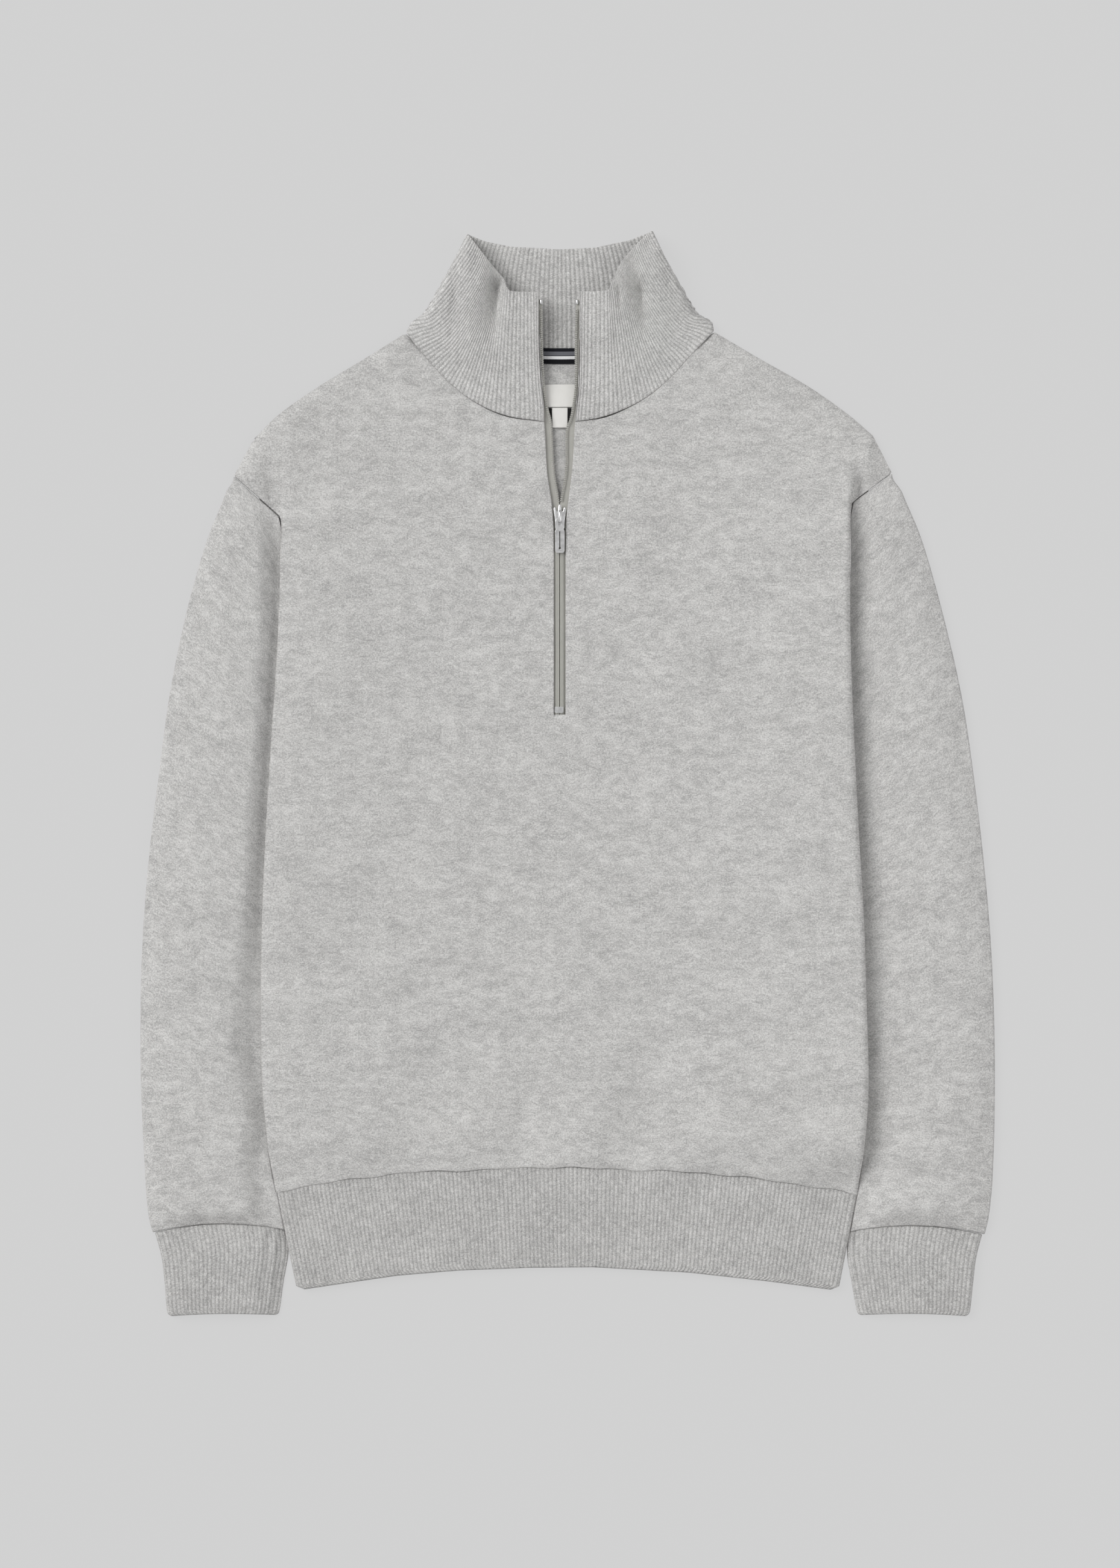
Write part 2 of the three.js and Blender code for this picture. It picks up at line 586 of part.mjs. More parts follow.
// Where the front's side edge ends: on the armhole seam, then on the shoulder
function armholeEnd(side, row) {
  const { tip, dip } = ARMHOLE[side];
  const top = FRONT_TOP[side === 'left' ? 0 : FRONT_TOP.length - 1];
  if (row.y <= dip.y) return null;
  const t = (row.y - dip.y) / (row.high - dip.y);
  const { tipShare, dipLevel, tipLevel, hump } = ARMHOLE_SEAM;
  if (t < tipShare) {
    const f = t / tipShare;
    const z = lerp(dipLevel, tipLevel, f) + hump * Math.sin(Math.PI * f);
    return { x: lerp(dip.x, tip.x, f), y: lerp(dip.y, tip.y, f), z };
  }
  const f = (t - tipShare) / (1 - tipShare);
  return { x: lerp(tip.x, top.x, f), y: lerp(tip.y, top.y, f), z: lerp(tipLevel, SHOULDER_LEVEL, f) };
}

// Points of one row past the side edge, from the edge on, at the middle of the wall
function sideRun(side, edge, level, high) {
  const inn = inwards[side];
  const end = armholeEnd(side, { y: edge.y, high });
  if (end) {
    const from = vec(edge.x + inn * ROLL, edge.y, level);
    return ARMHOLE_SHARE.map((share, i) =>
      vec(lerp(from.x, end.x, share), lerp(from.y, end.y, share), lerp(from.z, end.z, ARMHOLE_DROP[i])),
    );
  }
  const share = rollShare(edge.y);
  const dip = ARMHOLE[side].dip;
  const turn = smooth((edge.y - UNDERARM_Y) / (dip.y - UNDERARM_Y));
  return SIDE_PROFILE.map((row, i) => {
    const hem = HEM_PROFILE[i];
    const reach = lerp(hem.reach, row.reach, share);
    const fall = lerp(hem.fall, row.fall, share);
    const armReach = lerp(ROLL, 0, ARMHOLE_SHARE[i]);
    const armLevel = lerp(level, ARMHOLE_SEAM.dipLevel, ARMHOLE_DROP[i]);
    const plainLevel = lerp(level, SIDE_SEAM_LEVEL, fall);
    return vec(edge.x + inn * lerp(reach, armReach, turn), edge.y, lerp(plainLevel, armLevel, turn));
  });
}

function frontGrid() {
  const topLeft = FRONT_TOP[0];
  const topRight = FRONT_TOP[FRONT_TOP.length - 1];
  const hemLeft = HEM_SEAM[0].y;
  const hemRight = HEM_SEAM.at(-1).y;
  const hemInset = CLOTH / 2 + HEM_PROFILE[0].reach;
  const hemFrom = HEM_SEAM[0].x + hemInset;
  const hemTo = HEM_SEAM.at(-1).x - hemInset;
  return FRONT_ROWS.map((v) => {
    const yl = lerp(hemLeft, topLeft.y, v);
    const yr = lerp(hemRight, topRight.y, v);
    const edges = {
      left: { x: edgeX('left', yl) + CLOTH / 2, y: yl },
      right: { x: edgeX('right', yr) - CLOTH / 2, y: yr },
    };
    const reach = lerp(HEM_PROFILE[0].reach, ROLL, rollShare(yl));
    const xl = edges.left.x + reach;
    const xr = edges.right.x - reach;
    const middle = FRONT_TOP.map(({ u, x: topX, y: topY, part }) => {
      const lowX = lerp(hemFrom, hemTo, u);
      const lowY = read(HEM_SEAM, 'y', lowX, 'x');
      const straight = lerp(lerp(hemFrom, topLeft.x, v), lerp(hemTo, topRight.x, v), u);
      const plain = lerp(lowX, topX, v) + (lerp(xl, xr, u) - straight) * (1 - v ** 6);
      const y = lerp(lowY, topY, v);
      const x = part === 'slit' ? slitX(u < ZIP_COLUMN ? 'left' : 'right', y, plain) : plain;
      const fromTop = (1 - v) * (topY - lowY);
      const round = Math.sin((Math.PI / 2) * clamp01(fromTop / EDGE_ROUND));
      const edgeLevels = { shoulder: SHOULDER_LEVEL, 'neck point': NECK_POINT_LEVEL };
      const atEdge = edgeLevels[part] ?? frontLevel(x, y);
      return vec(x, y, lerp(atEdge, frontLevel(x, y), round));
    });
    const left = sideRun('left', edges.left, middle[0].z, topLeft.y);
    const right = sideRun('right', edges.right, middle.at(-1).z, topRight.y);
    return [...left.slice(1).reverse(), left[0], ...middle.slice(1, -1), right[0], ...right.slice(1)];
  });
}

// The two sides of the slit, and straight on below its end
function slitX(side, y, otherwise) {
  const sign = side === 'left' ? -1 : 1;
  const closed = ZIP_X + sign * SLIT_HALF;
  if (y < SLIT_END - BELOW_SLIT) return lerp(otherwise, closed, 0.5);
  if (y < ZIP_OPEN.at(-1).y) return closed;
  return read(ZIP_OPEN, `${side}Cloth`, y, 'y');
}

function bodyFront() {
  const grid = frontGrid();
  const slitColumn = SIDE_PROFILE.length - 1 + FRONT_TOP.findIndex(({ part }) => part === 'slit');
  const slitRow = grid.findIndex((row) => row[slitColumn].y > SLIT_END);
  grid[slitRow][slitColumn].y = SLIT_END;
  grid[slitRow][slitColumn + 1].y = SLIT_END;
  const open = (r, c) => c === slitColumn && r >= slitRow;
  return panel('body_front', FINISH.jersey, grid, CLOTH, open);
}

// Flat plate with rounded corners where they are wanted
function plate(name, finish, points, low, thickness) {
  const shape = new THREE.Shape(points.map(({ x, y }) => new THREE.Vector2(x, y)));
  const geometry = new THREE.ExtrudeGeometry(shape, { depth: thickness, bevelEnabled: false });
  geometry.translate(0, 0, low);
  return named(name, finish, geometry);
}

// Back panel: flat on the surface, between the sleeves' hidden edges
function bodyBack() {
  const { sideRows, sideInset, gap, hemFrom, hemTo } = BACK;
  const inset = TUCK + 5;
  const side = (name) =>
    sideRows.map((y) => ({
      x: edgeX(name, y) + inwards[name] * lerp(sideInset, inset, rollShare(y - sideInset)),
      y,
    }));
  const upper = (name) => [
    { x: edgeX(name, UNDERARM_Y) + inwards[name] * inset, y: UNDERARM_Y },
    ARMHOLE[name].dip,
    { x: ARMHOLE[name].tip.x + inwards[name] * 2 * gap, y: ARMHOLE[name].tip.y },
    ...BACK_SHOULDER[name],
  ];
  const neck = COLLAR_BACK_SEAM.map(({ x, y }) => ({ x, y: y - SEAM - gap }));
  const hem = HEM_SEAM.map(({ x, y }) => ({ x: clampBetween(x, hemFrom, hemTo), y: y + gap }));
  const points = [
    ...hem,
    ...side('right').reverse(),
    ...upper('right'),
    ...neck.slice(1, -1).reverse(),
    ...upper('left').reverse(),
    ...side('left'),
  ];
  return plate('body_back', FINISH.jersey, points, 0, CLOTH);
}

// Flattened tubes: sleeves, cuffs and the hem band

const FOLD_ANGLES = [-60, -25, 25, 60]; // points of the turn at each side fold, in degrees
const LEAST_REACH = 0.4; // of the inner wall into a side fold
const LEAST_HOLLOW = 0.24; // between the upper and the lower wall
const LOW_SHARES = [0, 0.33, 0.67, 1]; // columns of the flat underside

// One ring of a tube, laid out along a path from its outer fold to its inner fold. "level" gives the
// height of the upper face at a share of the path, "inset" the wall that is taken off all round.
function ringPoints(path, level, fold, inset, topShares, lowShares) {
  const length = path.length;
  const place = (distance, z) => {
    const { x, y } = path.at(distance / length);
    return vec(x, y, z);
  };
  const turn = (distance, height, sign) =>
    FOLD_ANGLES.map((angle) => {
      const a = THREE.MathUtils.degToRad(angle);
      const across = Math.max(LEAST_REACH, fold - inset);
      const half = Math.max(LEAST_HOLLOW / 2, height / 2 - inset);
      return place(distance - sign * across * Math.cos(a), height / 2 + half * Math.sin(a));
    });
  const firstLevel = level(fold / length);
  const lastLevel = level(1 - fold / length);
  const top = topShares.map((share) => {
    const distance = lerp(fold, length - fold, share);
    return place(distance, Math.max(level(distance / length) - inset, inset + LEAST_HOLLOW));
  });
  const low = lowShares.map((share) => place(lerp(length - fold, fold, share), inset));
  return [...turn(fold, firstLevel, 1), ...top, ...turn(length - fold, lastLevel, -1).reverse(), ...low];
}

// Places of those points round the ring, the same for the outer and the inner one
function ringPlaces(topShares, lowShares) {
  const turnPlaces = [0, 0.02, 0.04, 0.06];
  return [
    ...turnPlaces,
    ...topShares.map((share) => 0.08 + 0.4 * share),
    ...turnPlaces.map((place) => 0.5 + place),
    ...lowShares.map((share) => 0.58 + 0.4 * share),
  ];
}

function tube(name, finish, rings, thickness, outerShares, innerShares) {
  const outer = {
    rows: rings.map(({ path, level, fold }) => ringPoints(path, level, fold, 0, outerShares, LOW_SHARES)),
    places: ringPlaces(outerShares, LOW_SHARES),
  };
  const inner = {
    rows: rings.map(({ path, plain, fold }) =>
      ringPoints(path, plain, fold, thickness, innerShares, LOW_SHARES),
    ),
    places: ringPlaces(innerShares, LOW_SHARES),
  };
  return wall(name, finish, outer, inner, true);
}

// Path with a bend under the body's edge
function bentPath(outer, middle, inner, bow) {
  const rows = [outer, middle, inner];
  const length = apart(outer, middle) + apart(middle, inner);
  const at = (share) => {
    const { x, y } = onPath(rows, share);
    return { x, y: y + bow * 4 * clamp01(share) * (1 - clamp01(share)) };
  };
  return { length, at };
}

function sleeve(side) {
  const out = -inwards[side];
  const creases = side === 'left' ? LEFT_SLEEVE_FOLDS : RIGHT_SLEEVE_FOLDS;
  const { tip } = ARMHOLE[side];
  const { height, edgeHeight, innerDrop, least, besideHem, tipGap, drop } = SLEEVE;
  const rings = SLEEVE_RINGS.map((ring, i) => {
    const shift = i === 0 ? 0 : drop[side] * clamp01((drop.from - ring.outer) / drop.length);
    const atTip = { x: tip.x, y: tip.y - tipGap };
    const outer = i === 0 ? atTip : { x: read(OUTLINE, side, ring.outer, 'y'), y: ring.outer + shift };
    const tuck = read(TUCK_ROWS, 'tuck', ring.inner, 'y');
    const inner = { x: hemOrBodyEdge(side, ring.inner) - out * tuck, y: ring.inner + shift };
    const under = tuck > 2;
    const middleX = under ? hemOrBodyEdge(side, ring.middle) + out * tipGap : inner.x + out * besideHem;
    const middle = { x: middleX, y: ring.middle + shift };
    const path = bentPath(outer, middle, inner, ring.bow);
    const bend = apart(outer, middle) / path.length;
    const level = (share) => {
      const t = clamp01(share / bend);
      const past = clamp01((share - bend) / (1 - bend));
      const { x, y } = path.at(share);
      const across = Math.sin(Math.PI * t);
      const crease = folds(creases, x, y) * across ** 0.5 * (under ? 1 : 0.8);
      const puff = ring.puff * across ** 0.7;
      return Math.max(least, lerp(height, edgeHeight, t) - innerDrop * past + puff + crease);
    };
    return { path, level, plain: level, fold: SLEEVE.fold };
  });
  return tube(`sleeve_${side}`, FINISH.jersey, rings, CLOTH, SLEEVE_SHARES, SLEEVE_INNER_SHARES);
}

// Side edge of the body, or of the hem band below the hem seam
function hemOrBodyEdge(side, y) {
  const seam = HEM_SEAM.at(side === 'left' ? 0 : -1);
  const low = HEM_LOW.at(side === 'left' ? 0 : -1);
  if (y > seam.y) return edgeX(side, y);
  return lerp(seam.x, low.x, clamp01((y - seam.y) / (low.y - seam.y)));
}

// Shares of the upper face at the foot and the top of each rib
function ribShares(count) {
  return range(2 * count + 1).map((i) => i / (2 * count));
}

const ribRise = (count) => (share) => RIB_RISE * (Math.round(share * 2 * count) % 2);

function cuff(side) {
  const count = Math.round(CUFF.width / RIB_PITCH);
  const rise = ribRise(count);
  const { fold } = CUFF;
  const rings = CUFFS[side].map(({ ox, oy, ix, iy, bow }, i) => {
    const middle = { x: (ox + ix) / 2, y: (oy + iy) / 2 };
    const path = bentPath({ x: ox, y: oy }, middle, { x: ix, y: iy }, bow);
    const height = CUFF.height + CUFF.swell * Math.sin((Math.PI * i) / (CUFFS[side].length - 1));
    const plain = (share) => height + CUFF.swell * Math.sin(Math.PI * clamp01(share));
    const level = (share) => plain(share) + rise((share * path.length - fold) / (path.length - 2 * fold));
    return { path, plain, level, fold };
  });
  const innerShares = spread(0, 1, CUFF.innerColumns);
  return tube(`cuff_${side}`, FINISH.rib, rings, RIB_WALL, ribShares(count), innerShares);
}

// Hem band: its seam and its lower edge are curves from side to side
const HEM_ROWS = [0, 0.5, 0.95, 1];
const HEM_INNER_SHARES = [0, 0.009, ...spread(0.05, 0.95, 14), 0.991, 1];

function hemBand() {
  const count = Math.round(HEM.width / HEM_PITCH);
  const rise = ribRise(count);
  const { fold } = HEM;
  const edge = frontGrid()[0].map(({ x, y }) => ({ x, y: y - HEM.gap }));
  const seam = [{ x: HEM_SEAM[0].x, y: edge[0].y }, ...edge, { x: HEM_SEAM.at(-1).x, y: edge.at(-1).y }];
  const rings = HEM_ROWS.map((v) => {
    const tuckIn = v === 1 ? HEM.tuckIn : 0;
    const at = (share) => {
      const u = lerp(tuckIn, 1 - tuckIn, share);
      const high = onPath(seam, u);
      const low = onPath(HEM_LOW, u);
      return { x: lerp(high.x, low.x, v), y: lerp(high.y, low.y, v) };
    };
    const length = apart(at(0), at(1));
    const swell = HEM.swell * Math.sin(Math.PI * v);
    const plain = (share) => HEM.height + swell + HEM.wave * Math.sin(HEM.waves * share) * v;
    const level = (share) => plain(share) + rise((share * length - fold) / (length - 2 * fold));
    return { path: { length, at }, plain, level, fold };
  });
  return tube('hem_band', FINISH.rib, rings, RIB_WALL, ribShares(count), HEM_INNER_SHARES);
}

// Collar: one wall that runs from the left zip edge round the back to the right zip edge

const COLLAR_LOW = RIB_WALL / 2; // middle of the back wall
const COLLAR_RISE = 2.2; // from its seam to its top edge
const collarBase = (v) => FRONT_LOW + COLLAR_RISE * smooth(v);

const NECK_GAP = { corner: 1.2, seam: 0.5 };
const COLLAR_SWELL = 1.6; // how far the middle of each front half stands up

// Neck seam of a front half, from the side fold to the zip: the front's own edge, moved out a little
function neckSeam(side) {
  const onSide = ({ u }) => u < ZIP_COLUMN === (side === 'left');
  const inNeck = FRONT_TOP.filter((row) => row.part !== 'shoulder' && onSide(row));
  const rows = side === 'left' ? inNeck : inNeck.reverse();
  return rows.map((row, i) => {
    const before = rows[Math.max(0, i - 1)];
    const after = rows[Math.min(rows.length - 1, i + 1)];
    const length = apart(before, after);
    const up = inwards[side] * (i === 0 ? NECK_GAP.corner : NECK_GAP.seam);
    const x = row.x - (up * (after.y - before.y)) / length;
    const y = row.y + (up * (after.x - before.x)) / length;
    return { x, y };
  });
}

// Point at the middle of a front half's wall, s from the side fold to the zip
function collarFront(side, s, v) {
  const { side: edge, top } = COLLAR[side];
  const low = onPath(neckSeam(side), s);
  const high = { x: read(top, 'x', s, 's'), y: read(top, 'y', s, 's') };
  const bulge = (1 - s) ** 5;
  const straight = { x: lerp(edge[0].x, edge.at(-1).x, v), y: lerp(edge[0].y, edge.at(-1).y, v) };
  let x = lerp(low.x, high.x, v) + bulge * (read(edge, 'x', v, 'v') - straight.x);
  const y = lerp(low.y, high.y, v) + bulge * (read(edge, 'y', v, 'v') - straight.y);
  const zipX = read(ZIP_OPEN, `${side}Cloth`, y, 'y');
  x = lerp(x, zipX, s ** 8);
  const swell = COLLAR_SWELL * Math.sin(Math.PI * clamp01(s)) ** 2 * smooth(v * 1.5);
  const z = collarBase(v) + swell + folds(COLLAR_FOLDS, x, y) * smooth(v * 3);
  return vec(x, y, z);
}

const COLLAR_FOLD = { front: 0.035, back: 0.02 }; // shares of a front half and of the back
const COLLAR_PLACES = [0.3, 0.34, 0.66, 0.7]; // where each side turn starts and ends in the whole run
const TURN_COLUMNS = 5;

// Point on the back wall, b from the left side fold to the right one
function collarBack(b, v) {
  const low = onPath(COLLAR_BACK_SEAM, b);
  const high = onPath(COLLAR_BACK_TOP, b);
  return vec(lerp(low.x, high.x, v), lerp(low.y, high.y, v), COLLAR_LOW);
}

// Half turn from the front half down to the back wall at the side, t from 0 to 1
function collarTurn(side, t, v) {
  const start = collarFront(side, COLLAR_FOLD.front, v);
  const end = collarBack(side === 'left' ? COLLAR_FOLD.back : 1 - COLLAR_FOLD.back, v);
  const rows = COLLAR[side].side;
  const edge = { x: read(rows, 'x', v, 'v'), y: read(rows, 'y', v, 'v') };
  const angle = Math.PI * t;
  const half = (start.z - COLLAR_LOW) / 2;
  const push = Math.sin(angle);
  const inset = inwards[side] * (RIB_WALL / 2 + RIB_RISE / 2);
  return vec(
    lerp(start.x, end.x, t) + push * (edge.x + inset - (start.x + end.x) / 2),
    lerp(start.y, end.y, t) + push * (edge.y - 0.6 - (start.y + end.y) / 2),
    COLLAR_LOW + half + half * Math.cos(angle),
  );
}

// Stations round the collar: part, share in it, place in the whole run, and rib rise
function collarStations(frontCount, backCount, ribbedFront, ribbedBack) {
  const stations = [];
  const add = (part, count, from, to, place0, place1, ribbed, skipFirst) => {
    for (let i = skipFirst ? 1 : 0; i <= count; i += 1) {
      const t = i / count;
      const place = lerp(place0, place1, t);
      stations.push({ part, share: lerp(from, to, t), place, rib: ribbed ? i % 2 : 0 });
    }
  };
  const { front, back } = COLLAR_FOLD;
  const [turnFrom, backFrom, backTo, turnTo] = COLLAR_PLACES;
  add('left', frontCount, 1, front, 0, turnFrom, ribbedFront, false);
  add('turnLeft', TURN_COLUMNS, 0, 1, turnFrom, backFrom, false, true);
  add('back', backCount, back, 1 - back, backFrom, backTo, ribbedBack, true);
  add('turnRight', TURN_COLUMNS, 1, 0, backTo, turnTo, false, true);
  add('right', frontCount, front, 1, turnTo, 1, ribbedFront, true);
  return stations;
}

function collarPoint({ part, share }, v) {
  if (part === 'left') return collarFront('left', share, v);
  if (part === 'turnLeft') return collarTurn('left', share, v);
  if (part === 'back') return collarBack(share, v);
  if (part === 'turnRight') return collarTurn('right', share, v);
  return collarFront('right', share, v);
}

function collarFace(stations, distance, rise) {
  const grid = COLLAR_ROWS.map((v) => stations.map((station) => collarPoint(station, v)));
  const base = offsetGrid(grid, distance);
  const lifted = offsetGrid(grid, distance + rise);
  const rows = base.map((row, r) => row.map((point, c) => (stations[c].rib ? lifted[r][c] : point)));
  return { rows, places: stations.map(({ place }) => place) };
}

// Runs of a front half and of the back at the seam, and their columns where they are plain
const COLLAR_COLUMNS = { frontRun: 120, backRun: 205, plainFront: 12, plainBack: 8 };

function collar() {
  const { frontRun, backRun, plainFront, plainBack } = COLLAR_COLUMNS;
  const frontRibs = Math.round(frontRun / RIB_PITCH);
  const backRibs = Math.round(backRun / RIB_PITCH);
  const outer = collarFace(collarStations(2 * frontRibs, plainBack, true, false), -RIB_WALL / 2, -RIB_RISE);
  const inner = collarFace(collarStations(plainFront, 2 * backRibs, false, true), RIB_WALL / 2, RIB_RISE);
  outer.rows.forEach((row) => row.forEach((point) => (point.z = Math.max(0, point.z))));
  return wall('collar', FINISH.rib, outer, inner, false);
}

// Zip

const COLLAR_AT_ZIP = { low: 255.4, height: 93.6, below: 0.1 };
const TAPE_ROWS = [343, 326, 309, 296, 283, 272, 262, 250, 235, 220, 208, 200, 196.6];
const TAPE_EDGE = 0.2; // the tape's inner edge stays this far back from the coil's line

// Height of the tape's middle: under the cloth's edge, all the way up
function tapeLevel(y) {
  const { low, height, below } = COLLAR_AT_ZIP;
  if (y < low) return FRONT_LOW - CLOTH / 2 - SEAM - TAPE / 2 - below;
  const v = clamp01((y - low) / height);
  return collarBase(v) - RIB_WALL / 2 - SEAM - TAPE / 2 - 2 * below;
}

function zipTape(side) {
  const sign = side === 'left' ? -1 : 1;
  const grid = TAPE_ROWS.map((y) => {
    const hidden = read(ZIP_OPEN, `${side}Cloth`, y, 'y') + sign * TAPE_HIDDEN;
    const seen = read(ZIP_OPEN, `${side}Tape`, y, 'y') + sign * TAPE_EDGE;
    return [hidden, (hidden + seen) / 2, seen].map((x) => vec(x, y, tapeLevel(y)));
  });
  return panel(`zip_tape_${side}`, FINISH.zipTape, grid, TAPE, () => false);
}

// Merged solid for cutting and joining
function body(geometry) {
  const source = geometry.index ? geometry.toNonIndexed() : geometry;
  const position = source.getAttribute('position');
  const keys = new Map();
  const vertices = [];
  const triangles = range(position.count).map((i) => {
    const exact = [position.getX(i), position.getY(i), position.getZ(i)];
    const point = exact.map((n) => Math.round(n * 1e4) / 1e4);
    const key = point.join(',');
    if (!keys.has(key)) {
      keys.set(key, keys.size);
      vertices.push(...point);
    }
    return keys.get(key);
  });
  const vertProperties = new Float32Array(vertices);
  const triVerts = new Uint32Array(triangles);
  return new wasm.Manifold(new wasm.Mesh({ numProp: 3, vertProperties, triVerts }));
}

function fromBody(name, finish, shape) {
  const mesh = shape.getMesh();
  const geometry = new THREE.BufferGeometry();
  geometry.setAttribute('position', new THREE.BufferAttribute(mesh.vertProperties, 3));
  geometry.setIndex(new THREE.BufferAttribute(mesh.triVerts, 1));
  geometry.computeVertexNormals();
  return named(name, finish, geometry);
}

// Block between two heights with a plan of points
function block(points, low, high) {
  const shape = new THREE.Shape(points.map(([x, y]) => new THREE.Vector2(x, y)));
  const geometry = new THREE.ExtrudeGeometry(shape, { depth: high - low, bevelEnabled: false });
  geometry.translate(0, 0, low);
  return body(geometry);
}

const oblong = (x0, y0, x1, y1) => [
  [x0, y0],
  [x1, y0],
  [x1, y1],
  [x0, y1],
];

// Closed stretch: both tapes with the coil standing on them
function zipChain() {
  const level = tapeLevel(0);
  const half = SLIT_HALF + TAPE_HIDDEN;
  const coilHalf = COIL.width / 2;
  const { low, wideHigh, narrow, high, coilHigh } = CHAIN;
  const slab = (halfWidth, from, to) =>
    block(oblong(ZIP_X - halfWidth, from, ZIP_X + halfWidth, to), level - TAPE / 2, level + TAPE / 2);
  const tapes = slab(half, low, wideHigh);
  const inside = slab(coilHalf + narrow, wideHigh - SEAM, high);
  const coilPlan = oblong(ZIP_X - coilHalf, STOP.high + SEAM, ZIP_X + coilHalf, coilHigh);
  const coil = block(coilPlan, level, level + TAPE / 2 + COIL.height);
  return fromBody('zip_chain', FINISH.coil, tapes.add(inside).add(coil));
}

// Right half of the slider's plan, going up: share of the half width, and height from its low or high end
const SLIDER_PLAN = [
  { share: 0.72, up: 0, from: 'low' },
  { share: 0.8, up: 6, from: 'low' },
  { share: 1, up: -5, from: 'high' },
  { share: 1, up: 0, from: 'high' },
  { share: 0.62, up: 0, from: 'high' },
  { share: 0.24, up: -2.6, from: 'high' },
];
const POST = { half: 0.9, from: 6, to: 3 };

// Slider: two plates joined by a post between the rows of coil, with the crown for the pull on top
function zipSlider() {
  const { low, high, width, plate: thick, floor, roof } = SLIDER;
  const half = width / 2;
  const ends = { low, high };
  const rightHalf = SLIDER_PLAN.map(({ share, up, from }) => [share * half, up + ends[from]]);
  const leftHalf = rightHalf.map(([x, y]) => [-x, y]).reverse();
  const outline = [...rightHalf, ...leftHalf].map(([x, y]) => [ZIP_X + x, y]);
  const post = block(
    oblong(ZIP_X - POST.half, high - POST.from, ZIP_X + POST.half, high - POST.to),
    floor,
    roof + thick,
  );
  const { leg, rise, bar } = CROWN;
  const side = CROWN.width / 2;
  const top = roof + thick + rise;
  const legs = [CROWN.low, CROWN.high - leg].map((y) =>
    block(oblong(ZIP_X - side, y, ZIP_X + side, y + leg), roof, top),
  );
  const beam = block(oblong(ZIP_X - side, CROWN.low, ZIP_X + side, CROWN.high), top - bar, top);
  const plates = [floor, roof].map((level) => block(outline, level, level + thick));
  const parts = [...plates, post, ...legs, beam];
  return fromBody('zip_slider', FINISH.steel, parts.reduce((sum, part) => sum.add(part)));
}

// Pull: an eye round the crown's lower leg and a slim tab with a slot
function zipPull() {
  const { width, length, thick, eye, eyeWidth, side, neck, shoulder, corner } = PULL;
  const { slotWidth, slotTop, slot } = PULL;
  const bar = thick / 2;
  const shape = new THREE.Shape();
  const half = width / 2;
  const neckHalf = eyeWidth / 2 + side;
  const rightHalf = [
    [half - corner, -length],
    [half, -length + corner],
    [half, -eye - shoulder],
    [neckHalf, -eye - neck],
    [neckHalf, bar],
  ];
  shape.moveTo(-neckHalf, bar);
  rightHalf.slice(0, -1).reverse().forEach(([x, y]) => shape.lineTo(-x, y));
  rightHalf.forEach(([x, y]) => shape.lineTo(x, y));
  const hole = (left, right, high, low) => {
    const path = new THREE.Path();
    path.moveTo(left, high);
    path.lineTo(right, high);
    path.lineTo(right, low);
    path.lineTo(left, low);
    return path;
  };
  shape.holes.push(hole(-eyeWidth / 2, eyeWidth / 2, -bar, -eye));
  shape.holes.push(hole(-slotWidth / 2, slotWidth / 2, -eye - slotTop, -eye - slotTop - slot));
  const geometry = new THREE.ExtrudeGeometry(shape, { depth: thick, bevelEnabled: false });
  geometry.translate(0, 0, -thick / 2);
  const mesh = named('zip_pull', FINISH.steel, geometry);
  mesh.rotation.x = THREE.MathUtils.degToRad(PULL_TILT);
  mesh.position.set(ZIP_X, PIVOT.y, PIVOT.z);
  return mesh;
}

function zipStops() {
  const level = tapeLevel(0) + TAPE / 2;
  const { x, width, low, high, top, corner, grooveDepth } = STOP;
  const mid = (low + high) / 2;
  const left = x - width / 2;
  const right = x + width / 2;
  const bottom = block(
    [
      [left, low + corner],
      [left + corner, low],
      [right - corner, low],
      [right, low + corner],
      [right, high],
      [left, high],
    ],
    level + SEAM,
    top,
  );
  const grooveHalf = corner / 2;
  const grooveEnd = width / 2 - 2 * grooveHalf;
  const groove = block(
    oblong(x - grooveEnd, mid - grooveHalf, x + grooveEnd, mid + grooveHalf),
    top - grooveDepth,
    top + 1,
  );
  const tops = ['left', 'right'].map((side) => {
    const sign = side === 'left' ? -1 : 1;
    const y = TOP_STOP.high;
    const seen = read(ZIP_OPEN, `${side}Tape`, y, 'y') + sign * TAPE_EDGE;
    const x0 = Math.min(seen, seen + sign * TOP_STOP.width);
    const floor = tapeLevel(y) + TAPE / 2 + SEAM;
    const plan = oblong(x0, y - TOP_STOP.length, x0 + TOP_STOP.width, y);
    return fromBody(`zip_top_stop_${side}`, FINISH.steel, block(plan, floor, floor + TOP_STOP.height));
  });
  return [fromBody('zip_bottom_stop', FINISH.steel, bottom.subtract(groove)), ...tops];
}

// Inside the neck

function neckTape() {
  const { left, right, width, thick, lift, columns } = NECK_TAPE;
  const xs = spread(left, right, columns);
  const line = (shift) => xs.map((x) => ({ x, y: read(COLLAR_BACK_SEAM, 'y', x, 'x') + shift }));
  const points = [...line(-width / 2), ...line(width / 2).reverse()];
  return plate('neck_tape', FINISH.neckTape, points, lift, thick);
}

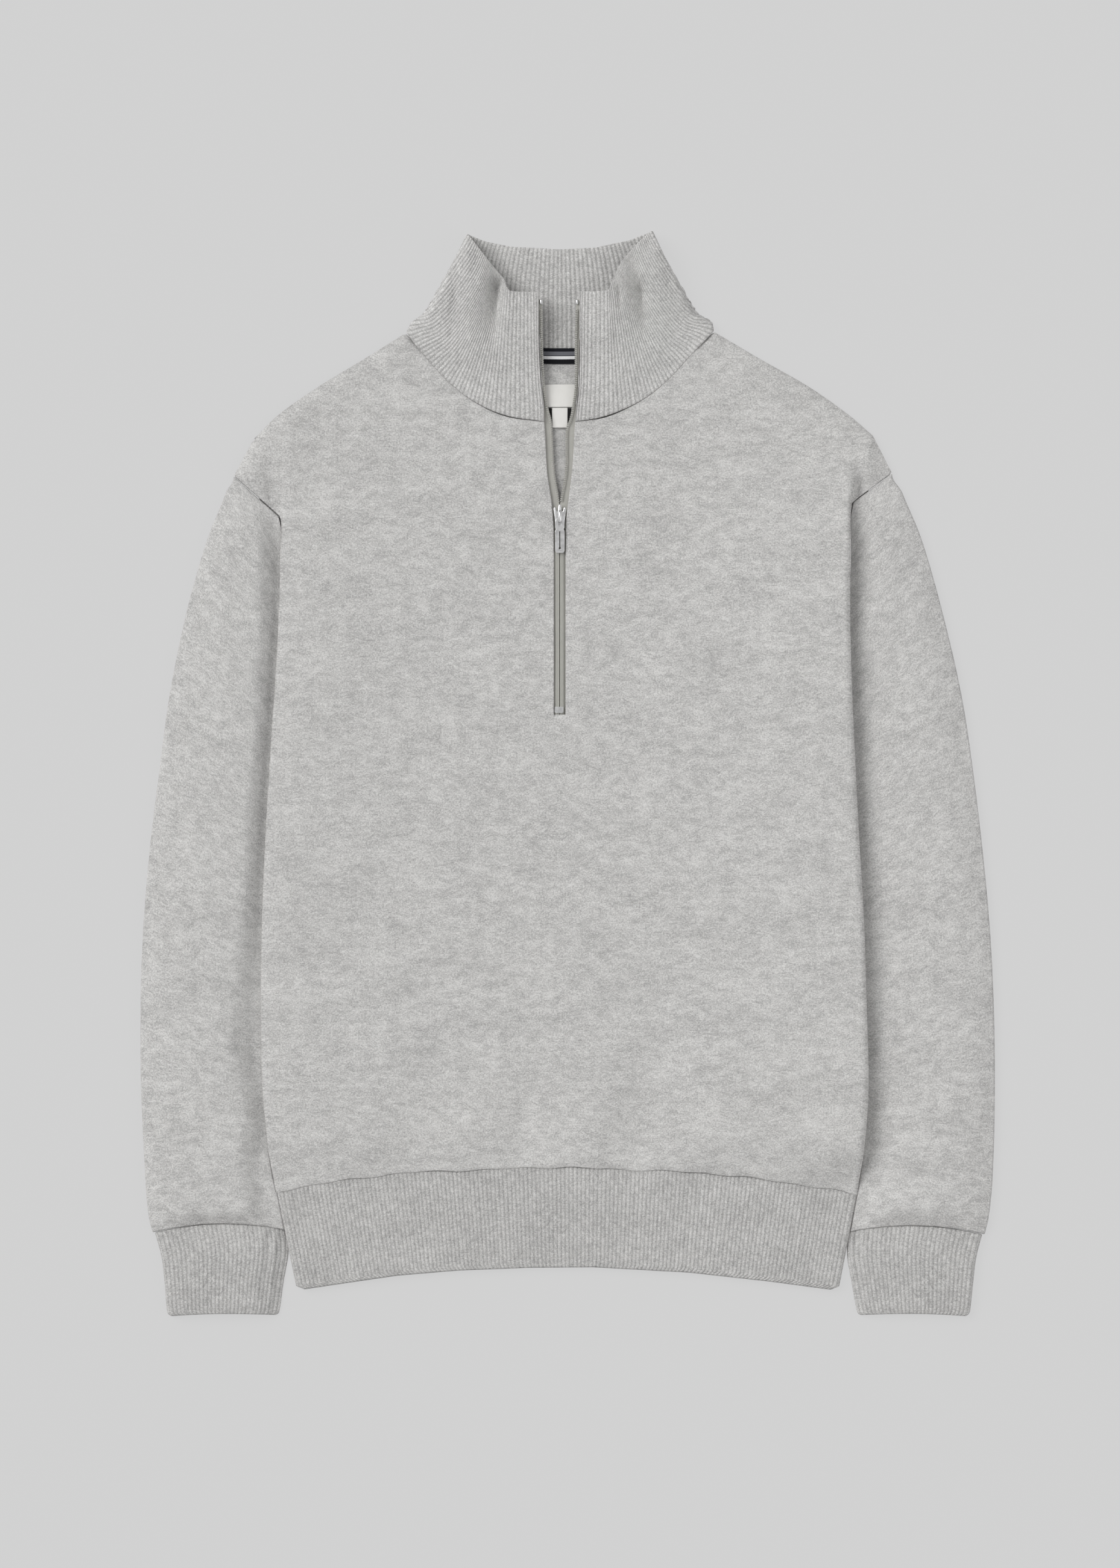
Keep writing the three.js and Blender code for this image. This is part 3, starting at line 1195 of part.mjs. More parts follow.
function labels() {
  const rectangle = ({ left, right, low, high }) =>
    oblong(left, low, right, high).map(([x, y]) => ({ x, y }));
  const lift = CLOTH + SEAM;
  const half = LABEL.width / 2;
  const wide = { left: ZIP_X - half, right: ZIP_X + half, low: LABEL.low, high: LABEL.high };
  return [
    plate('label', FINISH.label, rectangle(wide), lift, LABEL.thick),
    plate('size_tab', FINISH.label, rectangle(TAB), lift + TAB_BACK.thick + SEAM, TAB.thick),
    plate('size_tab_back', FINISH.tabBack, rectangle(TAB_BACK), lift, TAB_BACK.thick),
  ];
}

const sweater = new THREE.Group();
sweater.add(bodyFront(), bodyBack(), sleeve('left'), sleeve('right'), cuff('left'), cuff('right'));
sweater.add(hemBand(), collar(), zipTape('left'), zipTape('right'), zipChain(), zipSlider(), zipPull());
sweater.add(...zipStops(), neckTape(), ...labels());

export default sweater;
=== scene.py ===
"""A quarter zip sweater in marl sweatshirt knit, laid flat on its back panel.

The tables repeat those of the part's source: millimetres in the frame's own axes, with X to the right
as seen from above, Y towards the collar and Z up off the surface. Meshes are made in metres.
"""

import logging
import math
from dataclasses import dataclass
from enum import Enum
from typing import Callable, Optional, Sequence, Union

import bpy
import numpy as np
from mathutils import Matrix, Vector


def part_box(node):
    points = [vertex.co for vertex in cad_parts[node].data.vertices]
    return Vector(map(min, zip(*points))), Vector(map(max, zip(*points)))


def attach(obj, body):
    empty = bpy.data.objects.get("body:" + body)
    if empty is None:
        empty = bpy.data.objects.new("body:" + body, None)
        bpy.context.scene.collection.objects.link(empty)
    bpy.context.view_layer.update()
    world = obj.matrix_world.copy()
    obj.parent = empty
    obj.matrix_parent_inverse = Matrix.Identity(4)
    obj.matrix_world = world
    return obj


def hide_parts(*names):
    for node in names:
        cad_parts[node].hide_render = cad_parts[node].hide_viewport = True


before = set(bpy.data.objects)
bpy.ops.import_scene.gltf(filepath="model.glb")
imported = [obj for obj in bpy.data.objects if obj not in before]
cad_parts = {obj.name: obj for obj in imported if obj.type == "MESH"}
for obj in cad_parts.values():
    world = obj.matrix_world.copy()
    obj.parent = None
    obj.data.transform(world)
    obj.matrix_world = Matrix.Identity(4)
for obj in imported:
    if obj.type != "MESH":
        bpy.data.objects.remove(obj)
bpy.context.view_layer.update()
log = logging.getLogger("sweater")

MM = 0.001
IMAGE_WIDTH = 1624
IMAGE_HEIGHT = 2273
MM_PER_PIXEL = 0.5
ORIGIN_PIXEL = (823, 1122)

# Driving dimensions
CLOTH = 2.0
RIB_WALL = 1.8
RIB_RISE = 0.55
RIB_PITCH = 3.2
HEM_PITCH = 2.95
FRONT_LOW = 6.4
LEFT_LIFT = 7.3
RIGHT_LIFT = 14.0
HEM_Y = -306.0
ROLL_GROWS = 38.0
SEAM_LEVEL = 5.0
SHOULDER_LEVEL = 3.4
NECK_POINT_LEVEL = 4.6
SIDE_SEAM_LEVEL = 3.5
ROLL = 3.0
TUCK = 15.0
ZIP_X = -5.65
SLIT_END = 43.0
SLIT_HALF = 4.15
UNDERARM_Y = 150.0
EDGE_ROUND = 9.0
PANEL_WIDTH = 430.0
PANEL_RUN = 560.0
HEM_HEIGHT = 73.0
COLLAR_HEIGHT = 93.0
EDGE_RADIUS = 0.8
THIN_SHARE = 0.06
RING_SPACING = 37.0
NECK_Y = 255.4
EDGE_STEPS = np.array([0, 0.12, 0.35, 0.65, 1.0])
TURN_ANGLES = np.radians([-75, -55, -32, -10, 10, 32, 55, 75])

Number = Union[float, np.ndarray]


class Side(Enum):
    """Left or right as seen from above, with the sign of X that points to the garment's middle."""

    LEFT = "left"
    RIGHT = "right"

    @property
    def inwards(self) -> float:
        """1 for the left side and -1 for the right one."""
        return 1.0 if self is Side.LEFT else -1.0


def lerp(a: Number, b: Number, t: Number) -> Number:
    """Point between two values at a share."""
    return a + (b - a) * t


def clamp01(t: Number) -> Number:
    """Value kept between 0 and 1."""
    return np.clip(t, 0.0, 1.0)


def smooth(t: Number) -> Number:
    """Soft step from 0 to 1."""
    t = clamp01(t)
    return t * t * (3 - 2 * t)


class Table:
    """Rows of named numbers, read on a smooth curve through them."""

    def __init__(self, names: str, *rows: tuple[float, ...]) -> None:
        """Keeps one array a column.

        Args:
            names: The columns' names, with spaces between them.
            rows: One tuple of numbers a row.
        """
        self.columns = dict(zip(names.split(), np.array(rows, float).T))

    def read(self, key: str, place: Number, by: str) -> np.ndarray:
        """Reads a column where another column has a value.

        Args:
            key: The column that is read.
            place: Values of the column that it is read by.
            by: That column, which only rises or only falls.

        Returns:
            The values on the curve.
        """
        x, y = self.columns[by], self.columns[key]
        sign = 1.0 if x[-1] > x[0] else -1.0
        x = sign * x
        t = np.clip(sign * np.asarray(place, float), x[0], x[-1])
        i = np.clip(np.searchsorted(x, t, side="right") - 1, 0, len(x) - 2)
        slope = np.empty_like(y)
        slope[1:-1] = (y[2:] - y[:-2]) / (x[2:] - x[:-2])
        slope[0] = (y[1] - y[0]) / (x[1] - x[0])
        slope[-1] = (y[-1] - y[-2]) / (x[-1] - x[-2])
        span = x[i + 1] - x[i]
        f = (t - x[i]) / span
        rise = (y[i + 1] - y[i]) * f * f * (3 - 2 * f)
        return y[i] + rise + span * (slope[i] * f * (1 - f) ** 2 - slope[i + 1] * f * f * (1 - f))

    def parts(self, key: str, place: Number, by: str, corners: Sequence[float]) -> np.ndarray:
        """Reads a column on smooth curves that meet in corners, by a column that rises."""
        place = np.asarray(place, float)
        out = np.empty(place.shape)
        for low, high in zip(corners[:-1], corners[1:]):
            inside = (self.columns[by] >= low) & (self.columns[by] <= high)
            part = Table(by + " " + key, *zip(self.columns[by][inside], self.columns[key][inside]))
            here = (place >= low) & (place <= high)
            out[here] = part.read(key, place[here], by)
        return out

    def line(self, key: str, place: Number, by: str) -> np.ndarray:
        """Reads a column on straight stretches between the rows, by a column that rises."""
        return np.interp(place, self.columns[by], self.columns[key])

    def points(self) -> np.ndarray:
        """The x and y columns as points."""
        return np.stack([self.columns["x"], self.columns["y"]], -1)


def on_path(points: np.ndarray, share: Number) -> np.ndarray:
    """Points of a polyline at shares of its run."""
    steps = np.linalg.norm(np.diff(points, axis=0), axis=1)
    run = np.concatenate([[0.0], np.cumsum(steps)])
    at = clamp01(share) * run[-1]
    return np.stack([np.interp(at, run, points[:, k]) for k in range(points.shape[1])], -1)


@dataclass(frozen=True)
class Fold:
    """A soft trough that is deepest at its first end and fades to its second, or a ridge if below 0."""

    x0: float
    y0: float
    x1: float
    y1: float
    width: float
    depth: float
    skew: float = 0.0

    def height(self, x: np.ndarray, y: np.ndarray) -> np.ndarray:
        """How far the fold lifts the cloth at each place, in millimetres."""
        dx, dy = self.x1 - self.x0, self.y1 - self.y0
        length = math.hypot(dx, dy)
        along = ((x - self.x0) * dx + (y - self.y0) * dy) / length**2
        across = ((x - self.x0) * dy - (y - self.y0) * dx) / length
        before = np.minimum(0, along) * length
        fade = np.exp(-((before / (self.width * 1.6)) ** 2)) * (1 - clamp01(along)) ** 1.3
        spread = self.width * (1 + 0.5 * clamp01(along)) * (1 + self.skew * np.sign(across))
        return -self.depth * fade * np.exp(-((across / spread) ** 2))


def folded(rows: Sequence[Fold], x: np.ndarray, y: np.ndarray) -> np.ndarray:
    """Sum of several folds' heights."""
    return sum((fold.height(x, y) for fold in rows), np.zeros(np.broadcast(x, y).shape))


def ripple(x: np.ndarray, y: np.ndarray, size: float, height: float, seed: float) -> np.ndarray:
    """Uneven soft undulation of laid cloth.

    Args:
        x: Places across, in millimetres.
        y: Places along.
        size: Rough distance between two waves.
        height: Half of the range of heights.
        seed: Any number, which sets where the waves lie.

    Returns:
        The heights.
    """
    total = np.zeros(np.broadcast(x, y).shape)
    for i in range(7):
        angle = seed * 1.7 + i * 2.399
        length = size * (0.75 + 0.13 * i)
        phase = seed * 5.1 + i * 1.93
        total = total + np.sin(2 * np.pi * (x * math.cos(angle) + y * math.sin(angle)) / length + phase)
    return height * total / 4.2


# Outlines seen from above
OUTLINE = Table(
    "y left right",
    (321, -117, 106.5), (311, -129, 122), (301, -147, 139), (281, -180, 174), (261, -208.5, 202.5),
    (241, -228.5, 222.5), (221, -243, 236), (201, -249, 244), (171, -261, 256.5), (121, -275.5, 271),
    (61, -288, 285), (11, -295, 293), (-69, -304.5, 302.5), (-139, -309, 308), (-219, -309.5, 310),
    (-289, -306.5, 308.5), (-320, -304, 305.5), (-333, -300.8, 302.4),
)
BODY_EDGE = Table(
    "y left right",
    (246, -227, 221), (233, -219, 211.5), (222, -212.5, 208), (209, -209.2, 207), (181, -209, 206.5),
    (136, -208.8, 204.6), (76, -211.5, 205.5), (16, -215.5, 208), (-44, -219, 211), (-104, -221.5, 214.5),
    (-164, -222.5, 216.5), (-224, -221.5, 218), (-254, -219, 216.5), (-284, -215.5, 213.5),
    (-308, -211, 210),
)
# Top edge of the front by share of its width; own is 1 where the edge keeps the front's own level
FRONT_TOP = Table(
    "u x y own level",
    (0, -226, 244, 0, SHOULDER_LEVEL), (0.06, -208.5, 261, 0, SHOULDER_LEVEL),
    (0.12, -180, 281, 0, SHOULDER_LEVEL), (0.18, -147, 301, 0, SHOULDER_LEVEL),
    (0.245, -117.5, 319.5, 0, NECK_POINT_LEVEL), (0.28, -103, 302.5, 1, 0), (0.32, -87, 285, 1, 0),
    (0.365, -68, 270, 1, 0), (0.42, -45, 259.3, 1, 0), (0.478, -16.5, 255.2, 1, 0),
    (0.498, 5.2, 255.2, 1, 0), (0.555, 29, 259, 1, 0), (0.62, 56.5, 272.5, 1, 0),
    (0.665, 75.5, 288.5, 1, 0), (0.705, 91.5, 306, 1, 0), (0.745, 106, 320.5, 0, NECK_POINT_LEVEL),
    (0.82, 139, 301, 0, SHOULDER_LEVEL), (0.88, 174, 281, 0, SHOULDER_LEVEL),
    (0.94, 202.5, 261, 0, SHOULDER_LEVEL), (1, 220, 246, 0, SHOULDER_LEVEL),
)
SLIT_FROM, SLIT_TO = 0.478, 0.498
TOP_CORNERS = (0.0, 0.245, SLIT_FROM, SLIT_TO, 0.745, 1.0)
NEXT_LEFT, NEXT_RIGHT = 0.42, 0.555
HEM_SEAM = Table(
    "x y",
    (-211, -304), (-182, -297.5), (-150, -293), (-109, -289.3), (-72, -287), (-3.5, -285.7), (45, -286.7),
    (88.5, -289), (144, -294), (180, -299.5), (210, -306),
)
HEM_LOW = Table(
    "x y",
    (-196.3, -374.4), (-160, -369), (-123.5, -363.7), (-79.5, -360), (-28, -358), (18.5, -357.6),
    (88.5, -361.5), (147, -368), (196.5, -374.6),
)
# How the front runs on past its visible side edge
SIDE_RUN = Table(
    "p reach fall hem_reach hem_fall arm_share arm_drop",
    (0, 3, 0, 3, 0, 0, 0), (1, 0.88, 0.1, 2, 0.06, 0.1, 0.1), (2, 0, 0.33, 1.2, 0.21, 0.24, 0.36),
    (3, 0.88, 0.56, 0.6, 0.42, 0.42, 0.66), (4, 3, 0.66, 0.2, 0.67, 0.62, 0.87),
    (5, 12.5, 0.66, 0, 0.85, 0.82, 0.96), (6, 19.5, 1, 0, 1, 1, 1),
)
ARM_TIP = {Side.LEFT: (-242.2, 216.0), Side.RIGHT: (235.4, 218.0)}
ARM_DIP = {Side.LEFT: (-208.6, 187.0), Side.RIGHT: (206.8, 197.5)}
ARM_TIP_SHARE, ARM_DIP_LEVEL, ARM_TIP_LEVEL, ARM_HUMP = 0.6, 4.4, 3.6, 0.7
ARMPIT_FOLDS = {
    Side.LEFT: (Fold(-212.5, 198, -224, 258, 5.8, 5.6, 0.2), Fold(-228, 206, -234, 240, 7, -3.4)),
    Side.RIGHT: (Fold(211.6, 203, 209.6, 258, 4.6, 5.6, -0.35), Fold(204, 204, 203, 240, 4, -2.8)),
}
# Width of the hollow beside the body's edge
HOLLOW = {
    Side.LEFT: Table(
        "y wide",
        (232, 9), (205, 13), (180, 14), (150, 13), (110, 11), (40, 9), (-110, 10), (-150, 14), (-185, 15),
        (-220, 12), (-255, 10), (-280, 12), (-300, 15), (-318, 14), (-332, 9),
    ),
    Side.RIGHT: Table(
        "y wide",
        (232, 12), (200, 22), (150, 27), (100, 24), (50, 29), (0, 25), (-60, 28), (-95, 36), (-140, 41),
        (-165, 33), (-180, 39), (-202, 25), (-226, 41), (-246, 25), (-262, 37), (-276, 22), (-293, 39),
        (-309, 14), (-332, 8),
    ),
}

BODY_FOLDS = (
    Fold(-118, -278, -84, -150, 14, 3.5), Fold(-38, -276, -10, -165, 12, 3.0),
    Fold(50, -272, 90, -75, 16, 3.7), Fold(138, -280, 146, -225, 11, 2.5),
    Fold(-150, -95, -124, 5, 20, 1.4), Fold(-80, -276, -52, -190, 13, -2.2),
    Fold(8, -274, 38, -180, 15, -2.4), Fold(98, -272, 118, -190, 13, -2.1),
    Fold(-196, 192, -120, 120, 14, 1.1), Fold(193, 196, 120, 128, 14, 1.0),
)
SLEEVE_FOLDS = {
    Side.LEFT: (
        Fold(-216, -322, -243, -170, 9, 2.4), Fold(-262, -318, -276, -250, 11, 1.2),
        Fold(-228, 60, -262, -20, 13, 0.9),
    ),
    Side.RIGHT: (
        Fold(252, -296, 294, -270, 8, 1.6), Fold(216, -318, 232, -220, 9, 1.9),
        Fold(226, 55, 262, -25, 13, 0.9),
    ),
}
MORE_SLEEVE_FOLDS = {
    Side.LEFT: (
        Fold(-224, -208, -250, -150, 9, 4.2), Fold(-211, -318, -238, -262, 8, 4.6, 0.2),
        Fold(-250, -312, -262, -318, 20, 0.9), Fold(-222, -240, -248, -232, 9, -1.4),
        Fold(-236, -318, -290, -316, 4, -0.8), Fold(-262, -160, -290, -120, 10, 0.7),
        Fold(-240, 120, -275, 60, 9, 0.7),
    ),
    Side.RIGHT: (
        Fold(222, -228, 250, -214, 9, 2.6), Fold(220, -264, 246, -258, 7, 2.2),
        Fold(217, -292, 244, -288, 8, 3.6), Fold(222, -152, 248, -140, 10, 2.0),
        Fold(222, -246, 240, -244, 6, -1.0), Fold(221, -278, 242, -276, 6, -1.2),
        Fold(221, -196, 244, -190, 8, -1.2),
        Fold(238, -316, 290, -314, 4, -0.8), Fold(240, 100, 272, 40, 9, 0.7),
        Fold(240, -120, 290, -90, 10, 0.7),
    ),
}
CUFF_FOLDS = {
    Side.LEFT: (
        Fold(-217, -336, -226, -440, 2.6, 1.5), Fold(-212, -336, -221, -440, 1.5, -1.2),
        Fold(-225, -345, -232, -440, 2.0, -0.8),
    ),
    Side.RIGHT: (
        Fold(209, -336, 214, -420, 3.0, 2.0), Fold(215, -338, 220, -420, 2.4, -0.8),
        Fold(250, -360, 280, -364, 9, 0.7),
    ),
}
COLLAR_FOLDS = (
    Fold(-54, 350, -57, 292, 5, 2.6), Fold(-82, 348, -84, 306, 5, 1.8), Fold(-72, 376, -70, 318, 5, -1.6),
    Fold(51, 350, 55, 300, 6, 2.8), Fold(36, 349, 38, 330, 3.5, 1.6), Fold(64, 378, 68, 320, 6, -1.4),
)
SLEEVE_RINGS = Table(
    "k outer middle inner puff bow",
    (0, 215.4, 185.8, 170, 0.8, 0), (1, 203, 168, 151, 2.6, 0), (2, 184, 145, 126, 3.3, 0),
    (3, 155, 113, 94, 3.3, 0), (4, 115, 72, 57, 3.0, 0), (5, 65, 25, 13, 2.8, 0),
    (6, 10, -25, -34, 2.8, 0), (7, -50, -78, -84, 2.8, 0), (8, -110, -130, -134, 2.8, 0),
    (9, -165, -178, -181, 2.8, 0), (10, -212, -219, -221, 2.8, 0), (11, -250, -252, -253, 2.8, 1),
    (12, -280, -278, -280, 2.8, 2), (13, -304, -300, -303, 3.2, 3.5), (14, -322, -318, -320, 2.8, 4.6),
    (15, -332.4, -330.8, -330.6, 0.8, 5.5),
)
TUCK_ROWS = Table(
    "y tuck",
    (175, 2.4), (160, 5), (144, 10), (126, 15), (-225, 15), (-243, 9), (-256, 3), (-266, 1.2),
    (-304, 0.8), (-332, 0.4),
)
CUFF_RINGS = {
    Side.LEFT: Table(
        "k ox oy ix iy bow",
        (0, -299.4, -332.5, -203.6, -330.8, 5.5), (1, -294.6, -350, -202.4, -347, 3.4),
        (2, -292.2, -370, -206, -368.6, 2), (3, -290.6, -389, -208.8, -388.6, 1.2),
        (4, -287.8, -393, -211.4, -392.4, 1.4),
    ),
    Side.RIGHT: Table(
        "k ox oy ix iy bow",
        (0, 300.8, -333.9, 203.4, -332.2, 5.5), (1, 296.4, -351, 202.7, -349, 3.4),
        (2, 294, -371, 206, -369, 2), (3, 292, -389, 209.6, -388.6, 1.2),
        (4, 289.4, -393, 212.2, -392.4, 1.4),
    ),
}
COLLAR_SIDE = {
    Side.LEFT: Table(
        "v x y",
        (0, -117, 320.6), (0.12, -112.5, 328), (0.24, -102, 334.5), (0.6, -87.6, 362), (1, -72.8, 391.5),
    ),
    Side.RIGHT: Table(
        "v x y", (0, 106.2, 321.4), (0.12, 104, 328.4), (0.24, 92.8, 333.6), (0.6, 77, 362), (1, 61.4, 393.4)
    ),
}
COLLAR_TOP = {
    Side.LEFT: Table(
        "s x y",
        (0, -72.8, 391.5), (0.25, -62.5, 378.5), (0.5, -52, 365), (0.62, -46.6, 358), (0.69, -45.4, 353),
        (0.75, -43, 349.6), (1, -21.5, 349),
    ),
    Side.RIGHT: Table(
        "s x y",
        (0, 61.4, 393.4), (0.25, 51.5, 385), (0.5, 40, 371.5), (0.62, 35, 362), (0.7, 32.6, 354),
        (0.78, 31, 350), (1, 9, 349.3),
    ),
}
COLLAR_BACK_SEAM = Table(
    "x y", (-117, 320.6), (-90, 313), (-50, 305.5), (-5.5, 303), (40, 305.5), (80, 313), (106.2, 321.4)
)
COLLAR_BACK_TOP = Table(
    "x y", (-72.8, 391.5), (-60, 386.4), (-42, 382.6), (-5.5, 380.6), (20, 381.8), (44, 387), (61.4, 393.4)
)
ZIP_OPEN = Table(
    "y leftCloth leftTape rightTape rightCloth",
    (344, -20.9, -18.4, 6.2, 8.8), (309, -20.6, -18, 5.4, 8.8), (283, -19.2, -16.8, 5.4, 8.6),
    (267, -17.2, -14.6, 3.6, 6.8), (257, -17, -12, 1.6, 5.6), (250, -16.4, -11.2, -1, 5),
    (220, -14.8, -9.6, -1.6, 3.2),
    (197, -11.5, -6, -5.3, 0.3), (188, -10.6, -5.9, -5.4, -0.8), (177, -9.8, -5.9, -5.4, -1.5),
)


def edge_x(side: Side, y: Number) -> np.ndarray:
    """Visible side edge of the body at a height."""
    return BODY_EDGE.read(side.value, y, "y")


def hem_seam_y(x: Number) -> np.ndarray:
    """Height of the hem seam, with the small waves of its stitching."""
    x = np.asarray(x, float)
    waves = 0.45 * np.sin(x / 5.1 + 1) + 0.4 * np.sin(x / 9.7) + 0.5 * np.sin(x / 17.3 + 2)
    return HEM_SEAM.read("y", x, "x") + waves * smooth((211 - np.abs(x)) / 12)


def puckers(x: np.ndarray, distance: np.ndarray, height: float = 0.22, reach: float = 6.0) -> np.ndarray:
    """Small waves of the cloth beside a seam, that run away from it.

    Args:
        x: Places along the seam, in millimetres.
        distance: Distances from it.
        height: Half of the range of heights.
        reach: Distance over which the waves die out.

    Returns:
        The heights.
    """
    waves = np.sin(x / 1.55) * (0.6 + 0.4 * np.sin(x / 13.0)) + 0.7 * np.sin(x / 2.9 + 1.3 * np.sin(x / 21.0))
    return height * waves * np.exp(-distance / reach)


def roll_share(y: Number) -> np.ndarray:
    """Share of the side roll at a height: none at the hem seam, all of it above."""
    return smooth((y - HEM_Y) / ROLL_GROWS)


def front_level(x: np.ndarray, y: np.ndarray) -> np.ndarray:
    """Height of the middle of the front's wall."""
    left, right = edge_x(Side.LEFT, y), edge_x(Side.RIGHT, y)
    outwards = clamp01(np.abs(2 * (x - ZIP_X) / (right - left)))
    high = 1 - 0.88 * smooth((y - UNDERARM_Y) / 105)
    low = smooth((y - HEM_Y) / 44)
    hem = lerp(SEAM_LEVEL - FRONT_LOW, 0, smooth((y - HEM_Y - ROLL * 2) / 22))
    rounded = 4.4 * np.exp(-np.maximum(0, x - left) / 12) + 0.8 * np.exp(-np.maximum(0, right - x) / 8)
    most = np.where(x < ZIP_X, LEFT_LIFT, RIGHT_LIFT)
    lift = most * high * outwards**2.2 - rounded * (1 - smooth((y - 170) / 60))
    return FRONT_LOW + lift * low + hem + folded(BODY_FOLDS, x, y) * low


def slit_x(side: Side, y: np.ndarray, plain: np.ndarray) -> np.ndarray:
    """Side of the zip's slit, and a line that leaves it slowly below its end."""
    closed = ZIP_X - side.inwards * SLIT_HALF
    above = ZIP_OPEN.read(side.value + "Cloth", y, "y")
    below = lerp(closed, lerp(plain, closed, 0.5), smooth((SLIT_END - y) / 60))
    return np.where(y < SLIT_END, below, np.where(y < 177, closed, above))


def rim(distance: Number) -> np.ndarray:
    """Share of a wall's thickness at a distance from its rounded edge, where a little stays."""
    share = np.sqrt(np.maximum(0, 1 - (1 - clamp01(distance / EDGE_RADIUS)) ** 2))
    return np.maximum(share, THIN_SHARE)


def unit(rows: np.ndarray) -> np.ndarray:
    """Vectors of length 1 in the same directions, one a row."""
    return rows / np.linalg.norm(rows, axis=1, keepdims=True)


def normals(grid: np.ndarray) -> np.ndarray:
    """Unit directions out of a grid's face, from its neighbours across and along."""
    out = np.cross(np.gradient(grid, axis=1), np.gradient(grid, axis=0))
    return out / np.maximum(np.linalg.norm(out, axis=2, keepdims=True), 1e-9)


def linked(name: str, mesh: bpy.types.Mesh) -> bpy.types.Object:
    """Object of a mesh whose faces are all smooth, linked to the scene."""
    mesh.polygons.foreach_set("use_smooth", np.ones(len(mesh.polygons), bool))
    obj = bpy.data.objects.new(name, mesh)
    bpy.context.scene.collection.objects.link(obj)
    return obj


def meshed(name: str, points: Sequence, faces: Sequence) -> bpy.types.Object:
    """Smooth object of points in metres and faces."""
    mesh = bpy.data.meshes.new(name)
    mesh.from_pydata(points, [], faces)
    return linked(name, mesh)


@dataclass
class Face:
    """One face of a wall: points in millimetres, places on the flat cloth, rib height, and painted shade
    along seams and rims.
    """

    points: np.ndarray
    flat: np.ndarray
    rib: np.ndarray
    # Painted shade along seams and rims, from 0 to 1.
    edge: np.ndarray


def cloth_mesh(
    name: str, outer: Face, inner: Face, closed: bool = False, filled: Optional[np.ndarray] = None
) -> bpy.types.Object:
    """Closed thin shell between two faces of the same rows and columns.

    Args:
        name: The piece's name.
        outer: The face whose own direction points out.
        inner: The other face.
        closed: Whether the columns run all round.
        filled: Which cells hold cloth, or None for all of them.

    Returns:
        The new object, smooth shaded.
    """
    rows, columns = outer.points.shape[:2]
    cells = (rows - 1, columns if closed else columns - 1)
    if filled is None:
        filled = np.ones(cells, bool)
    r, c = np.nonzero(filled)
    d = (c + 1) % columns
    count = rows * columns
    a, b, e, f = r * columns + c, r * columns + d, (r + 1) * columns + d, (r + 1) * columns + c
    faces = [np.stack([a, b, e, f], 1), np.stack([a, f, e, b], 1) + count]
    pad = np.pad(filled, 1) if not closed else np.pad(filled, ((1, 1), (0, 0)))
    if closed:
        pad = np.concatenate([pad[:, -1:], pad, pad[:, :1]], 1)
    for dr, dc, p, q in ((-1, 0, a, b), (1, 0, e, f), (0, 1, b, e), (0, -1, f, a)):
        bare = ~pad[r + 1 + dr, c + 1 + dc]
        faces.append(np.stack([q[bare], p[bare], p[bare] + count, q[bare] + count], 1))
    quads = np.concatenate(faces)
    used, index = np.unique(quads, return_inverse=True)
    quads = index.reshape(quads.shape)

    def both(key: str, width: int) -> np.ndarray:
        """One value a vertex, outer face first."""
        parts = [getattr(side, key).reshape(count, width) for side in (outer, inner)]
        return np.concatenate(parts)[used]

    obj = meshed(name, both("points", 3) * MM, quads)
    mesh = obj.data
    flat = both("flat", 2) * MM
    corners = np.zeros(len(mesh.loops), np.int32)
    mesh.loops.foreach_get("vertex_index", corners)
    mesh.uv_layers.new(name="Flat").data.foreach_set("uv", flat[corners].astype(np.float32).ravel())
    # Rib height and the painted shade of seams and rims go to the shaders as point attributes.
    for key in ("rib", "edge"):
        layer = mesh.attributes.new(key, "FLOAT", "POINT")
        layer.data.foreach_set("value", both(key, 1).astype(np.float32).ravel())
    mesh.update()
    return obj


def slab(
    name: str, top: np.ndarray, under: np.ndarray, flat: Optional[np.ndarray] = None, line: Number = 0.0
) -> bpy.types.Object:
    """Plain piece of cloth between two grids of points.

    Args:
        name: The piece's name.
        top: Its upper face.
        under: Its lower face.
        flat: Places on the flat cloth, or None to take them from above.
        line: How much darker lines on the upper face are painted.

    Returns:
        The new object.
    """
    flat = top[..., :2] if flat is None else flat
    plain = np.ones(top.shape[:2])
    return cloth_mesh(name, Face(top, flat, plain, line + 0 * plain), Face(under, flat, plain, 0 * plain))


# Shader nodes

Socket = bpy.types.NodeSocket
Value = Union["Shade", float, tuple]


class Shade:
    """An output socket of a material, on which sums are written as plain expressions."""

    def __init__(self, graph: "Graph", socket: Socket) -> None:
        """Wraps a socket of a graph."""
        self.graph = graph
        self.socket = socket

    def _math(self, operation: str, first: Value, second: Value = 0.0) -> "Shade":
        """Math node on two values."""
        return self.graph.node("ShaderNodeMath", {"operation": operation}, {0: first, 1: second})

    def __add__(self, other: Value) -> "Shade":
        """Sum."""
        return self._math("ADD", self, other)

    def __radd__(self, other: Value) -> "Shade":
        """Sum with a number on the left."""
        return self._math("ADD", other, self)

    def __sub__(self, other: Value) -> "Shade":
        """Difference."""
        return self._math("SUBTRACT", self, other)

    def __rsub__(self, other: Value) -> "Shade":
        """Difference from a number."""
        return self._math("SUBTRACT", other, self)

    def __mul__(self, other: Value) -> "Shade":
        """Product."""
        return self._math("MULTIPLY", self, other)

    def sine(self) -> "Shade":
        """Sine."""
        return self._math("SINE", self)

    def step(self, low: float, high: float) -> "Shade":
        """Soft step from 0 at the first number to 1 at the second."""
        settings = {"interpolation_type": "SMOOTHSTEP", "clamp": True}
        return self.graph.node("ShaderNodeMapRange", settings, {"Value": self, 1: low, 2: high})


